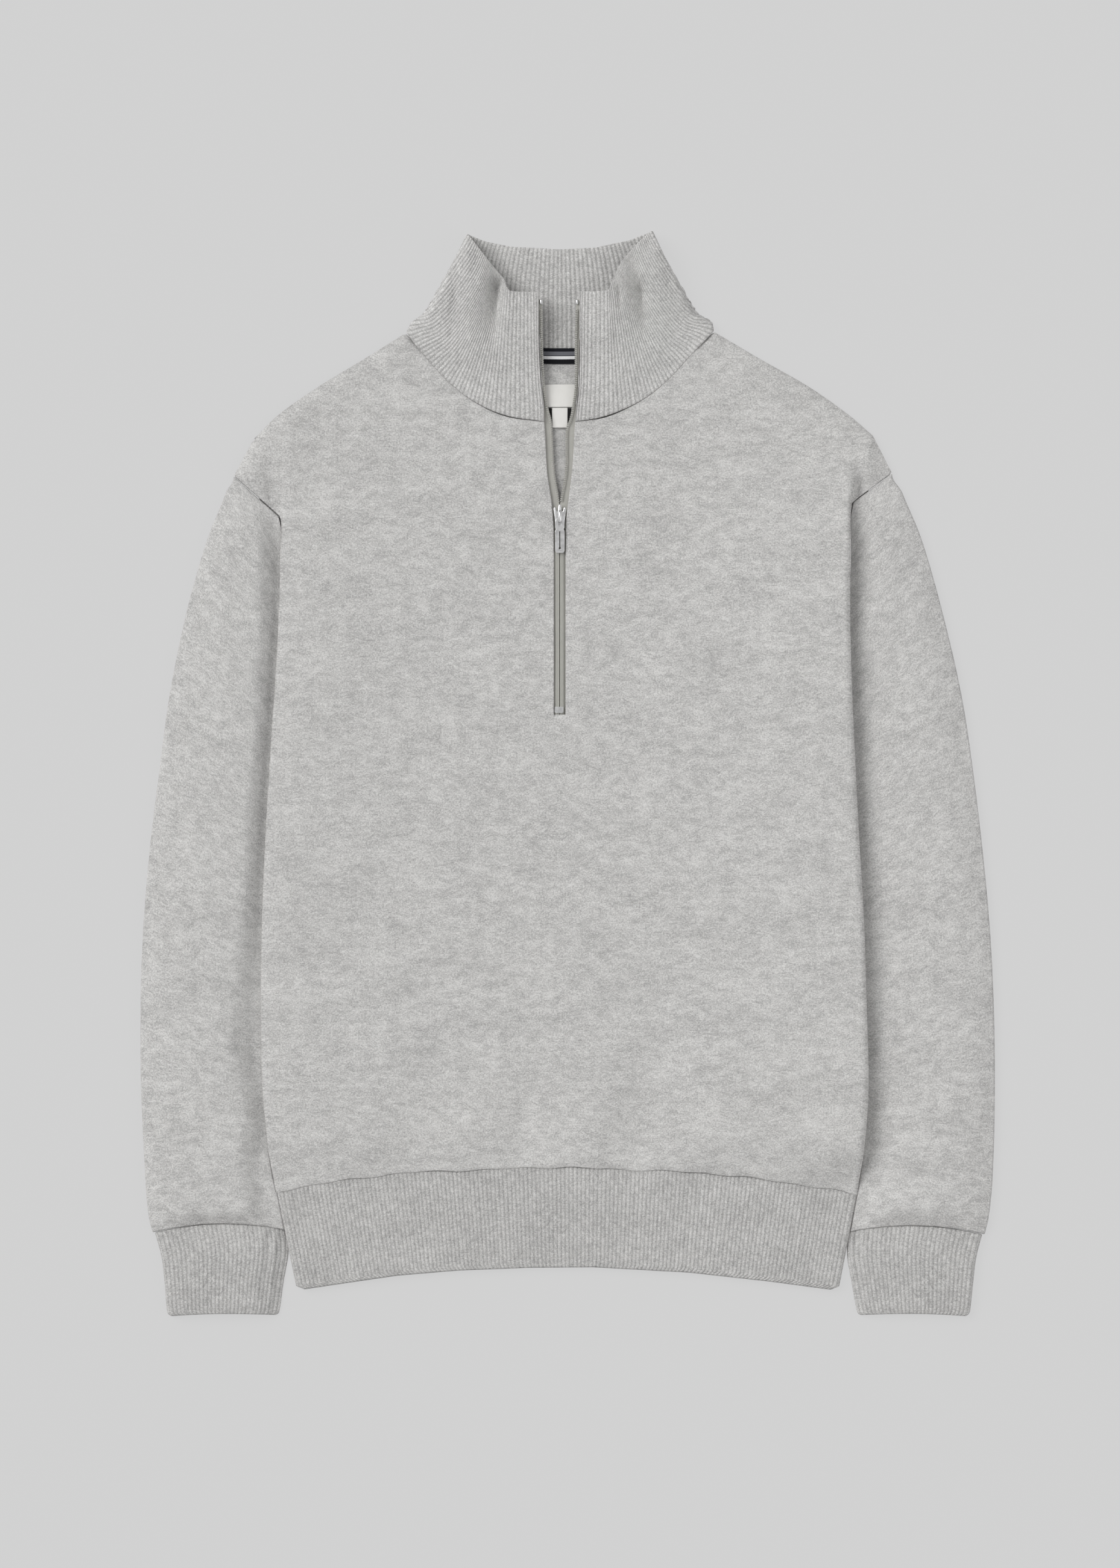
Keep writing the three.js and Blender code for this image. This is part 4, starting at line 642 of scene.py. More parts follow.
class Graph:
    """A material's node tree, with one method that makes any node."""

    def __init__(self, name: str) -> None:
        """Makes the material with its surface shader."""
        self.material = bpy.data.materials.new(name)
        self.material.use_nodes = True
        self.tree = self.material.node_tree
        self.surface = next(n for n in self.tree.nodes if n.type == "BSDF_PRINCIPLED")

    def _set(self, socket: Socket, value: Value) -> None:
        """Links a socket, or sets its own value."""
        if isinstance(value, Shade):
            self.tree.links.new(value.socket, socket)
        else:
            socket.default_value = value

    def node(
        self,
        kind: str,
        settings: Optional[dict] = None,
        inputs: Optional[dict] = None,
        output: Union[int, str] = 0,
    ) -> Shade:
        """Makes a node.

        Args:
            kind: The node's type.
            settings: Its own settings, which are set first; "stops" are a ramp's places and colours.
            inputs: Values or links of its sockets, by name or number.
            output: The output that is wanted.

        Returns:
            That output.
        """
        made = self.tree.nodes.new(kind)
        for key, value in (settings or {}).items():
            if key == "stops":
                self._stops(made.color_ramp, value)
            else:
                setattr(made, key, value)
        for key, value in (inputs or {}).items():
            self._set(made.inputs[key], value)
        return Shade(self, made.outputs[output])

    @staticmethod
    def _stops(ramp: bpy.types.ColorRamp, stops: Sequence[tuple]) -> None:
        """Sets a ramp's stops."""
        while len(ramp.elements) < len(stops):
            ramp.elements.new(0.5)
        for element, (place, colour) in zip(ramp.elements, stops):
            element.position = place
            element.color = colour

    def flat(self) -> Shade:
        """Place on the flat cloth, in metres."""
        return self.node("ShaderNodeUVMap", {"uv_map": "Flat"})

    def attribute(self, name: str) -> Shade:
        """A number that the mesh keeps for each point."""
        return self.node("ShaderNodeAttribute", {"attribute_name": name}, output="Fac")

    def scaled(self, vector: Shade, x: float, y: float, z: float = 1.0) -> Shade:
        """Vector times three numbers."""
        return self.node("ShaderNodeVectorMath", {"operation": "MULTIPLY"}, {0: vector, 1: (x, y, z)})

    def noise(self, vector: Shade, detail: float = 2.0, roughness: float = 0.5) -> Shade:
        """Cloudy noise, about 0.5 on average, one cell a unit."""
        inputs = {"Vector": vector, "Scale": 1.0, "Detail": detail, "Roughness": roughness}
        return self.node("ShaderNodeTexNoise", {"noise_dimensions": "3D"}, inputs)

    def cells(
        self, vector: Shade, wide: float, high: float, detail: float = 2.0, roughness: float = 0.5
    ) -> Shade:
        """Cloudy noise whose cells have a size in millimetres."""
        return self.noise(self.scaled(vector, 1 / (wide * MM), 1 / (high * MM)), detail, roughness)

    def axis(self, vector: Shade, name: str) -> Shade:
        """One component of a vector."""
        return self.node("ShaderNodeSeparateXYZ", {}, {0: vector}, name)

    def blend(self, factor: Value, low: Value, high: Value) -> Shade:
        """Mix of two colours."""
        settings = {"data_type": "RGBA", "blend_type": "MIX"}
        return self.node("ShaderNodeMix", settings, {0: factor, 6: low, 7: high}, output=2)

    def finish(
        self, colour: Value, roughness: Value, bump: Optional[Shade] = None, depth: float = 0.0001
    ) -> None:
        """Feeds the surface shader.

        Args:
            colour: Base colour.
            roughness: Roughness.
            bump: Height from 0 to 1, or None.
            depth: Metres of relief that the height stands for.
        """
        self._set(self.surface.inputs["Base Color"], colour)
        self._set(self.surface.inputs["Roughness"], roughness)
        if bump is not None:
            relief = self.node("ShaderNodeBump", {}, {"Height": bump, "Distance": depth, "Strength": 1.0})
            self._set(self.surface.inputs["Normal"], relief)

    def constant(self, **values: float) -> None:
        """Sets the surface shader's own sockets, with underscores for the spaces of their names."""
        for key, value in values.items():
            self.surface.inputs[key.replace("_", " ")].default_value = value


def tone(red: float, green: float, blue: float) -> tuple[float, float, float, float]:
    """Linear colour from 8-bit screen values."""
    parts = [v / 255 for v in (red, green, blue)]
    linear = [v / 12.92 if v <= 0.04045 else ((v + 0.055) / 1.055) ** 2.4 for v in parts]
    return (linear[0], linear[1], linear[2], 1.0)


@dataclass(frozen=True)
class KnitFinish:
    """Marl knit: light fibres with darker ones spun in, a short nap, painted shade in its rib grooves and
    painted shade along its seams and rims.
    """

    name: str
    dark: tuple
    light: tuple
    streak: tuple[float, float] = (10.0, 6.0)
    contrast: float = 0.62
    # How far the rib grooves are painted darker: painted shade in the grooves.
    groove_painted_shade: float = 0.0

    def make(self) -> bpy.types.Material:
        """Builds the material."""
        g = Graph(self.name)
        flat = g.flat()
        bend = g.cells(flat, 16, 16, 1.0)
        curl = g.cells(flat, 5, 5, 1.0)
        shifts = {"X": (curl - 0.5) * (4 * MM), "Y": (bend - 0.5) * (9 * MM)}
        shift = g.node("ShaderNodeCombineXYZ", {}, shifts)
        place = g.node("ShaderNodeVectorMath", {"operation": "ADD"}, {0: flat, 1: shift})
        wide, high = self.streak
        streaks = g.cells(place, wide, high, 4.0, 0.68)
        clouds = g.cells(place, 42, 24)
        threads = g.cells(place, 5.5, 1.6, 1.0)
        fibres = g.cells(flat, 1.1, 0.9, 2.0, 0.7)
        grain = g.cells(place, 2.0, 1.7, 1.5, 0.6)
        marl = (streaks - 0.5) * 1.7 + (clouds - 0.5) * 0.7 + (threads - 0.5) * 0.6
        marl = marl + (grain - 0.5) * 1.2 + (fibres - 0.5) * 3.0
        mix = 0.5 + marl * self.contrast
        base = g.blend(mix.step(-0.1, 1.1), self.dark, self.light)
        if self.groove_painted_shade:
            # Painted shade: the grooves between the ribs are painted darker.
            groove = (1 - g.attribute("rib")) * self.groove_painted_shade
            base = g.blend(groove, base, tone(104, 104, 102))
        # Painted shade: darker along seams and open rims, by the mesh's edge attribute.
        base = g.blend(g.attribute("edge") * 0.22, base, tone(112, 111, 109))
        nap = fibres * 0.8 + streaks * 0.5 + threads * 0.2
        g.constant(Specular_IOR_Level=0.1)
        g.finish(base, 0.95, nap, 0.3 * MM)
        return g.material


@dataclass(frozen=True)
class SteelFinish:
    """Bright nickel plate with fine polishing marks."""

    name: str

    def make(self) -> bpy.types.Material:
        """Builds the material."""
        g = Graph(self.name)
        place = g.node("ShaderNodeTexCoord", {}, {}, "Object")
        marks = g.noise(g.scaled(place, 900, 250, 900), 2.0)
        clouds = g.noise(g.scaled(place, 300, 300, 300), 1.0)
        colour = g.blend(clouds.step(0.3, 0.7), tone(214, 214, 214), tone(238, 238, 238))
        g.constant(Metallic=1.0)
        g.finish(colour, 0.26 + marks * 0.16, marks, 0.02 * MM)
        return g.material


@dataclass(frozen=True)
class WovenFinish:
    """Flat woven tape or label: two tones that cross in a fine plain weave, with darker lines painted by the
    mesh's edge attribute.
    """

    name: str
    dark: tuple
    light: tuple
    thread: float = 0.5
    roughness: float = 0.8

    def make(self) -> bpy.types.Material:
        """Builds the material."""
        g = Graph(self.name)
        place = g.node("ShaderNodeTexCoord", {}, {}, "Object")
        line = g.attribute("edge")
        turn = 2 * math.pi / (self.thread * MM)
        across = (g.axis(place, "X") * turn).sine()
        along = (g.axis(place, "Y") * turn).sine()
        weave = 0.5 + across * along * 0.5
        wear = g.noise(g.scaled(place, 250, 250, 250), 2.0)
        base = g.blend(weave * 0.6 + wear * 0.4, self.dark, self.light)
        # Darker lines by the edge attribute: painted shade where the zip chain's tape halves meet, and darker
        # stitch lines.
        base = g.blend(line * 0.45, base, tone(92, 92, 88))
        g.constant(Specular_IOR_Level=0.25)
        g.finish(base, self.roughness, weave, 0.08 * MM)
        return g.material


@dataclass(frozen=True)
class StripeFinish:
    """Neck tape: stripes along its length, read across the flat tape."""

    name: str
    width: float

    def make(self) -> bpy.types.Material:
        """Builds the material."""
        g = Graph(self.name)
        flat = g.flat()
        share = g.axis(flat, "Y") * (1 / (self.width * MM))
        navy, grey = tone(20, 21, 27), tone(112, 113, 119)
        white, black = tone(240, 240, 241), tone(12, 12, 15)
        stops = [(0.0, black), (0.3, white), (0.49, navy), (0.53, grey), (0.78, navy)]
        stripes = g.node("ShaderNodeValToRGB", {"stops": stops}, {0: share})
        stripes.socket.node.color_ramp.interpolation = "CONSTANT"
        turns = g.axis(flat, "X") * (2 * math.pi / (0.7 * MM))
        ribs = 0.5 + turns.sine() * 0.5
        base = g.blend(ribs * 0.14, stripes, tone(70, 72, 80))
        g.constant(Specular_IOR_Level=0.2)
        g.finish(base, 0.85, ribs, 0.1 * MM)
        return g.material


JERSEY = KnitFinish("marl sweatshirt knit", tone(158, 157, 156), tone(214, 213, 211))
RIB = KnitFinish(
    "marl rib knit", tone(153, 152, 151), tone(212, 211, 209), streak=(5.0, 6.0), groove_painted_shade=0.3
)
# Painted light: a lighter copy of the rib knit for the collar, against the shade of its slopes and its darker
# painted grooves.
COLLAR_RIB_PAINTED_LIGHTER = KnitFinish(
    "marl rib knit painted lighter for collar",
    tone(165, 164, 163),
    tone(226, 225, 223),
    streak=(5.0, 6.0),
    contrast=0.66,
    groove_painted_shade=0.42,
)
STEEL = SteelFinish("nickel plate")
ZIP_TAPE = WovenFinish("woven zip tape", tone(170, 169, 163), tone(196, 195, 189))
ZIP_CHAIN = WovenFinish("closed zip chain", tone(160, 160, 153), tone(186, 185, 179))
ZIP_COIL = WovenFinish("nylon zip coil", tone(178, 177, 171), tone(206, 205, 200), 1.2, 0.5)
NECK_TAPE = StripeFinish("striped neck tape", 11.5)
LABEL = WovenFinish("off-white woven label", tone(226, 224, 219), tone(240, 239, 236), 0.35, 0.6)
# A near-black strip behind the size tab, seen only as dark bars at both sides of the tab.
DARK_STRIP_BEHIND_TAB = WovenFinish("black woven tab", tone(18, 18, 18), tone(36, 35, 34), 0.4, 0.7)


class Wardrobe:
    """Makes each finish once."""

    def __init__(self) -> None:
        """Starts with none."""
        self.made: dict[str, bpy.types.Material] = {}

    def dress(self, obj: bpy.types.Object, finish: object) -> bpy.types.Object:
        """Gives an object one finish and returns it."""
        if finish.name not in self.made:
            self.made[finish.name] = finish.make()
        obj.data.materials.clear()
        obj.data.materials.append(self.made[finish.name])
        return obj


WARDROBE = Wardrobe()


@dataclass
class Piece:
    obj: bpy.types.Object
    finish: object
    slot: str
    node: Optional[str] = None
    body: str = "garment"

    def settle(self) -> bpy.types.Object:
        """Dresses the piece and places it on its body."""
        WARDROBE.dress(self.obj, self.finish)
        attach(self.obj, self.body)
        if self.node:
            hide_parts(self.node)
        log.info("%s: %d faces", self.obj.name, len(self.obj.data.polygons))
        return self.obj


def spaced(start: float, end: float, step: float) -> np.ndarray:
    """Even places from start to end, about a step apart."""
    return np.linspace(start, end, max(2, int(round(abs(end - start) / step)) + 1))


def edge_spaced(length: float, step: float) -> np.ndarray:
    """Shares from 0 to 1 a step apart, closer together where both ends round off."""
    close = EDGE_STEPS * EDGE_RADIUS / length
    inner = spaced(close[-1], 1 - close[-1], step / length)
    return np.concatenate([close[:-1], inner, 1 - close[:-1][::-1]])


def panel_x(v: np.ndarray, u: Number, ends: tuple, corners: tuple, sides: Sequence) -> np.ndarray:
    """Places across a panel, between its lower and upper edge and its sides.

    Args:
        v: Shares of the way up.
        u: Shares across.
        ends: Places on the lower edge and on the upper one.
        corners: Lower and upper end of each side.
        sides: Places of the sides, the left one first.

    Returns:
        The places.
    """
    straight = lerp(lerp(*corners[0], v), lerp(*corners[1], v), u)
    return lerp(*ends, v) + (lerp(*sides, u) - straight) * (1 - v**6)


@dataclass
class Body:
    """Front and back panels of sweatshirt knit."""

    step: float = 2.6
    back_step: float = 6.0
    ripple_height: float = 0.36
    folds: tuple[Fold, ...] = (
        Fold(-30, 246, -66, 196, 9, 0.8), Fold(20, 246, 60, 205, 9, 0.7),
        Fold(-200, 120, -150, 96, 8, 0.5), Fold(196, 110, 150, 84, 8, 0.5),
        Fold(-14, 178, -52, 168, 6, 0.5), Fold(3, 176, 44, 170, 6, 0.5),
        Fold(-165, -278, -150, -215, 10, 1.2), Fold(172, -282, 170, -230, 9, 1.0),
    )

    def columns(self) -> np.ndarray:
        """Shares across the front, with rounded edges at the two sides of the slit."""
        close = EDGE_STEPS / PANEL_WIDTH
        step = self.step / PANEL_WIDTH
        left = np.concatenate([spaced(0, SLIT_FROM - close[-1], step), SLIT_FROM - close[:-1][::-1]])
        right = np.concatenate([SLIT_TO + close[:-1], spaced(SLIT_TO + close[-1], 1, step)])
        return np.concatenate([left, [0.484, 0.492], right])

    def front_middle(self, v: np.ndarray, u: np.ndarray) -> np.ndarray:
        """Middle of the front's wall between its side edges.

        Args:
            v: Shares of the way up, one a row.
            u: Shares across, one a column.

        Returns:
            Points, a row for each v.
        """
        v, u = v[:, None], u[None, :]
        inset = CLOTH / 2 + ROLL
        hem_from, hem_to = HEM_SEAM.columns["x"][[0, -1]] + np.array([inset, -inset])
        hem_left, hem_right = HEM_SEAM.columns["y"][[0, -1]]
        top_x, top_y = (FRONT_TOP.parts(key, u, "u", TOP_CORNERS) for key in ("x", "y"))
        y_left, y_right = lerp(hem_left, top_y[0, 0], v), lerp(hem_right, top_y[0, -1], v)
        x_left = edge_x(Side.LEFT, y_left) + inset
        x_right = edge_x(Side.RIGHT, y_right) - inset
        low_x = lerp(hem_from, hem_to, u)
        low_y = hem_seam_y(low_x)
        corners = (hem_from, top_x[0, 0]), (hem_to, top_x[0, -1])
        plain = panel_x(v, u, (low_x, top_x), corners, (x_left, x_right))
        y = lerp(low_y, top_y, v)
        x = plain.copy()
        for side, corner, start in ((Side.LEFT, 0, x_left), (Side.RIGHT, -1, x_right)):
            dip = ARM_DIP[side][1]
            own_y = lerp((hem_left, hem_right)[corner], top_y[0, corner], v)
            up = smooth((own_y - dip) / (top_y[0, corner] - dip))
            shift = lerp(start, top_x[0, corner], up) - plain[:, corner, None]
            x = x + shift * clamp01(1 - np.abs(u - u[0, corner]) / 0.1) ** 2
        for side, own, beside in ((Side.LEFT, SLIT_FROM, NEXT_LEFT), (Side.RIGHT, SLIT_TO, NEXT_RIGHT)):
            at_slit = np.array([[own]])
            slit_top_x, slit_top_y = (FRONT_TOP.line(key, at_slit, "u") for key in ("x", "y"))
            slit_low = lerp(hem_from, hem_to, own)
            slit_y = lerp(hem_seam_y(np.array([[slit_low]])), slit_top_y, v)
            slit_plain = panel_x(v, own, (slit_low, slit_top_x), corners, (x_left, x_right))
            shift = slit_x(side, slit_y, slit_plain) - slit_plain
            share = clamp01(1 - (u - own) / (beside - own)) * (((u - own) * (beside - own)) >= 0)
            inside = (u > SLIT_FROM) & (u < SLIT_TO)
            share = np.where(inside, clamp01(1 - np.abs(u - own) / (SLIT_TO - SLIT_FROM)), share)
            x = x + shift * share
        rounding = np.sin(np.pi / 2 * clamp01((1 - v) * (top_y - low_y) / EDGE_ROUND))
        level = front_level(x, y)
        own_share = FRONT_TOP.line("own", u, "u")
        at_edge = lerp(FRONT_TOP.line("level", u, "u"), level, own_share)
        near_edge = smooth((1 - v) * (top_y - low_y) / 14) * smooth((y - HEM_Y) / 30)
        relief = folded(self.folds, x, y) + ripple(x, y, 46, self.ripple_height, 2.0)
        z = lerp(at_edge, level, rounding) + relief * near_edge
        for side in Side:
            z = z + folded(ARMPIT_FOLDS[side], x, y) * smooth((y - ARM_DIP[side][1]) / 12)
        z = z + puckers(x, v * (top_y - low_y))
        z = z + puckers(x * 1.3, (1 - v) * (top_y - low_y), 0.1, 4.0)
        return np.stack([x, y, z], -1)

    def side_run(self, side: Side, v: np.ndarray, start: np.ndarray) -> np.ndarray:
        """Points past one side edge: over the roll and in to the side seam, or out along the armhole.

        Args:
            side: The side.
            v: Shares of the way up.
            start: The points where the run starts, one a row.

        Returns:
            Points, from the edge on.
        """
        p = np.linspace(0, 6, 25)[None, 1:]
        ends = 0 if side is Side.LEFT else -1
        high = FRONT_TOP.columns["y"][ends]
        y = lerp(HEM_SEAM.columns["y"][ends], high, v)[:, None]
        inn = side.inwards
        edge = edge_x(side, y) + inn * CLOTH / 2
        run = {key: SIDE_RUN.read(key, p, "p") for key in ("reach", "fall", "arm_share", "arm_drop")}
        hem = {key: SIDE_RUN.read(key, p, "p") for key in ("hem_reach", "hem_fall")}
        share = roll_share(y)
        level = start[:, 2, None]
        (tip_x, tip_y), (dip_x, dip_y) = ARM_TIP[side], ARM_DIP[side]
        turn = smooth((y - UNDERARM_Y) / (dip_y - UNDERARM_Y))
        reach = lerp(lerp(hem["hem_reach"], run["reach"], share), lerp(ROLL, 0, run["arm_share"]), turn)
        fall = lerp(hem["hem_fall"], run["fall"], share)
        soft = smooth((y - dip_y) / 38)
        plain_z = lerp(lerp(level, SIDE_SEAM_LEVEL, fall), lerp(level, ARM_DIP_LEVEL, run["arm_drop"]), turn)
        below = np.stack([edge + inn * reach, y + 0 * reach, plain_z], -1)
        t = (y - dip_y) / (high - dip_y)
        f = clamp01(t / ARM_TIP_SHARE)
        g = clamp01((t - ARM_TIP_SHARE) / (1 - ARM_TIP_SHARE))
        top_x = FRONT_TOP.columns["x"][ends]
        end_x = np.where(t < ARM_TIP_SHARE, lerp(dip_x, tip_x, f), lerp(tip_x, top_x, g))
        end_y = np.where(t < ARM_TIP_SHARE, lerp(dip_y, tip_y, f), lerp(tip_y, high, g))
        rising = lerp(ARM_DIP_LEVEL, ARM_TIP_LEVEL, f) + ARM_HUMP * np.sin(np.pi * f)
        end_z = np.where(t < ARM_TIP_SHARE, rising, lerp(ARM_TIP_LEVEL, SHOULDER_LEVEL, g))
        above_x = lerp(start[:, 0, None], end_x, run["arm_share"])
        above_y = lerp(y, end_y, run["arm_share"])
        began = start[:, 1, None]
        own = folded(ARMPIT_FOLDS[side], start[:, 0, None], began) * smooth((began - dip_y) / 12)
        above_z = lerp(level - own, end_z, lerp(run["arm_drop"], run["arm_share"], soft))
        crease = folded(ARMPIT_FOLDS[side], above_x, above_y) * smooth((y - dip_y) / 12)
        crease = crease * (1 - run["arm_share"] ** 3)
        above_z = np.maximum(above_z + crease, np.minimum(above_z, 3.4))
        above = np.stack([above_x, above_y, above_z], -1)
        return np.where((y > dip_y)[..., None], above, below)

    def front(self) -> bpy.types.Object:
        """Front panel with its slit."""
        v = edge_spaced(PANEL_RUN, self.step)
        u = self.columns()
        middle = self.front_middle(v, u)
        slit = int(np.searchsorted(u, SLIT_FROM - 1e-9))
        slit_end = int(np.searchsorted(u, SLIT_TO - 1e-9))
        row = int(np.argmax(middle[:, slit, 1] > SLIT_END))
        middle[row, slit : slit_end + 1, 1] = SLIT_END
        left = self.side_run(Side.LEFT, v, middle[:, 0])
        right = self.side_run(Side.RIGHT, v, middle[:, -1])
        grid = np.concatenate([left[:, ::-1], middle, right], 1)
        slit += left.shape[1]
        slit_end += left.shape[1]
        filled = np.ones((len(v) - 1, grid.shape[1] - 1), bool)
        filled[row:, slit:slit_end] = False
        height = v[:, None] * PANEL_RUN
        x = grid[:, :, 0]
        seam = np.minimum(height, PANEL_RUN - height) + 0 * x
        to_slit = np.minimum(np.abs(x - x[:, slit, None]), np.abs(x - x[:, slit_end, None]))
        beside = np.where(grid[:, :, 1] >= SLIT_END - 0.5, to_slit, 99)
        column = np.arange(grid.shape[1])
        end = np.minimum(column, column[::-1])[None, :] * EDGE_RADIUS
        distance = np.minimum(np.minimum(seam, beside), end)
        half = (CLOTH / 2 * rim(distance))[..., None]
        out = normals(grid)
        flat = grid[:, :, :2].copy()
        # Painted shade along the panel's lower and upper seams.
        shade = np.exp(-((seam / 0.8) ** 2))
        none = np.ones(grid.shape[:2])
        outer = Face(grid + out * half, flat, none, shade)
        inner = Face(grid - out * half, flat + 3, none, 0 * shade)
        return cloth_mesh("front_panel", outer, inner, filled=filled)

    def back(self) -> bpy.types.Object:
        """Back panel, flat on the surface."""
        top = Table(
            "u x y",
            (0, -225.6, 243.4), (0.06, -208, 260.2), (0.12, -179.4, 280.2), (0.18, -146.4, 300.2),
            (0.245, -118.2, 317.8), (0.307, -90, 312.5), (0.396, -50, 305), (0.495, -5.5, 302.5),
            (0.595, 40, 305), (0.684, 80, 312.5), (0.745, 107.6, 318.4), (0.82, 138.4, 300.2),
            (0.88, 173.4, 280.2), (0.94, 202, 260.4), (1, 219.6, 245.4),
        )
        v = edge_spaced(PANEL_RUN, self.back_step)[:, None]
        u = edge_spaced(PANEL_WIDTH, self.back_step)[None, :]
        hem_from, hem_to = -208.6, 207.6
        top_x, top_y = top.line("x", u, "u"), top.line("y", u, "u")
        low_x = lerp(hem_from, hem_to, u)
        low_y = HEM_SEAM.read("y", low_x, "x") + 0.2
        sides = []
        for side, corner in ((Side.LEFT, 0), (Side.RIGHT, -1)):
            y = lerp(low_y[0, corner], top_y[0, corner], v[:, 0])
            inset = lerp(2, TUCK + 5, roll_share(y - 2))
            x = edge_x(side, y) + side.inwards * inset
            (tip_x, tip_y), (dip_x, dip_y) = ARM_TIP[side], ARM_DIP[side]
            under_x = float(edge_x(side, UNDERARM_Y)) + side.inwards * (TUCK + 5)
            high = np.interp(
                y, [UNDERARM_Y, dip_y, tip_y, top_y[0, corner]],
                [under_x, dip_x, tip_x + side.inwards * 0.4, top_x[0, corner]],
            )
            sides.append(np.where(y > UNDERARM_Y, high, x)[:, None])
        corners = (hem_from, top_x[0, 0]), (hem_to, top_x[0, -1])
        x = panel_x(v, u, (low_x, top_x), corners, sides)
        y = lerp(low_y, top_y, v)
        distance = np.minimum(np.minimum(v, 1 - v) * PANEL_RUN, np.minimum(u, 1 - u) * PANEL_WIDTH)
        half = CLOTH / 2 * rim(distance)
        sag = ripple(x, y, 60, 0.12, 5.0) * smooth(distance / 20)
        up = np.stack([x, y, CLOTH / 2 + half + sag - 0.12 * smooth(distance / 20)], -1)
        down = np.stack([x, y, CLOTH / 2 - half], -1)
        flat = np.stack([x, y], -1)
        none = np.ones(x.shape)
        return cloth_mesh("back_panel", Face(up, flat + 7, none, 0 * none), Face(down, flat, none, 0 * none))

    def build(self) -> list[bpy.types.Object]:
        """Makes and dresses both panels."""
        front = Piece(self.front(), JERSEY, "jersey", "body_front").settle()
        back = Piece(self.back(), JERSEY, "jersey", "body_back").settle()
        return [front, back]


# Flattened tubes


@dataclass
class Rings:
    """Rings of a flattened tube, one a row: outer and inner fold, bend between them, and bow."""

    outer: np.ndarray
    middle: np.ndarray
    inner: np.ndarray
    bow: np.ndarray
    fold: float

    def __post_init__(self) -> None:
        """Works out the runs."""
        self.first = np.linalg.norm(self.middle - self.outer, axis=1)[:, None]
        self.second = np.linalg.norm(self.inner - self.middle, axis=1)[:, None]
        self.length = self.first + self.second

    def at(self, share: np.ndarray) -> tuple[np.ndarray, np.ndarray]:
        """Places from above at shares of each ring's run."""
        run = share * self.length
        one = (run / self.first)[..., None]
        two = ((run - self.first) / self.second)[..., None]
        near = lerp(self.outer[:, None], self.middle[:, None], one)
        far = lerp(self.middle[:, None], self.inner[:, None], two)
        place = np.where(one <= 1, near, far)
        kept = clamp01(share)
        return place[..., 0], place[..., 1] + self.bow[:, None] * 4 * kept * (1 - kept)


@dataclass
class Tube:
    """Flattened tube of cloth: an upper face with relief over a flat lower one."""

    name: str
    rings: Rings
    level: Callable[[np.ndarray], np.ndarray]
    wall: float
    rows_mm: np.ndarray
    top_shares: np.ndarray
    top_rib: np.ndarray
    low_shares: np.ndarray
    low_rib: np.ndarray
    rise: float = 0.0

    def ring(self, inset: float, rib_in: float) -> np.ndarray:
        """Points of every ring.

        Args:
            inset: Wall that is taken off all round.
            rib_in: Rise of the ribs on this face.

        Returns:
            Points, one row a ring.
        """
        length, fold = self.rings.length, self.rings.fold
        angles = TURN_ANGLES[None, :]

        def turn(start: np.ndarray, height: np.ndarray, sign: float) -> tuple[np.ndarray, np.ndarray]:
            """Distances and heights of a side fold."""
            across = max(0.4, fold - inset)
            half = np.maximum(0.12, height / 2 - inset)
            return start - sign * across * np.cos(angles), height / 2 + half * np.sin(angles)

        first = self.level(fold / length)
        last = self.level(1 - fold / length)
        top_run = lerp(fold, length - fold, self.top_shares[None, :])
        top_z = self.level(top_run / length) + rib_in * self.top_rib[None, :]
        top_z = np.maximum(top_z - inset, inset + 0.24)
        low_run = lerp(length - fold, fold, self.low_shares[None, :])
        groove = 0.7 * rib_in * (1 - self.low_rib[None, :])
        low_z = inset + groove + 0 * low_run
        start_run, start_z = turn(fold + 0 * length, first, 1.0)
        end_run, end_z = turn(length - fold, last, -1.0)
        run = np.concatenate([start_run, top_run, end_run[:, ::-1], low_run], 1)
        z = np.concatenate([start_z, top_z, end_z[:, ::-1], low_z], 1)
        x, y = self.rings.at(run / length)
        return np.stack([x, y, z], -1)

    def build(self, painted_shade_width: float = 0.8) -> bpy.types.Object:
        """Makes the shell, with rounded rims at both ends and painted shade along them."""
        outer = self.ring(0.0, self.rise)
        inner = self.ring(self.wall, 0.0)
        rows = self.rows_mm
        distance = np.minimum(rows, rows[-1] - rows)[:, None]
        keep = rim(distance)[..., None]
        middle = (outer + inner) / 2
        outer = lerp(middle, outer, keep)
        inner = lerp(middle, inner, keep)
        around = np.linalg.norm(np.diff(outer, axis=1), axis=2).cumsum(1)
        around = np.concatenate([np.zeros((len(rows), 1)), around], 1)
        around = around - around[:, len(self.top_shares) // 2 + len(TURN_ANGLES)][:, None]
        flat = np.stack([around, -rows[:, None] + 0 * around], -1)
        turn_rib = np.ones(len(TURN_ANGLES))
        rib = np.concatenate([turn_rib, self.top_rib, turn_rib, self.low_rib])[None, :] + 0 * around
        # Painted shade at both ends: the seam and the open rim.
        shade = np.exp(-((distance / painted_shade_width) ** 2)) + 0 * around
        front = Face(outer, flat, rib, shade)
        back = Face(inner, flat + 5, np.ones(rib.shape), 0 * shade)
        return cloth_mesh(self.name, back, front, closed=True)


def rib_profile(count: int, steps: int) -> tuple[np.ndarray, np.ndarray]:
    """Shares and heights of rounded ribs with narrow grooves.

    Args:
        count: Number of ribs.
        steps: Columns a rib.

    Returns:
        Shares from 0 to 1, and heights from 0 in a groove to 1 on a rib.
    """
    share = np.linspace(0, 1, count * steps + 1)
    return share, np.abs(np.sin(np.pi * share * count)) ** 0.7


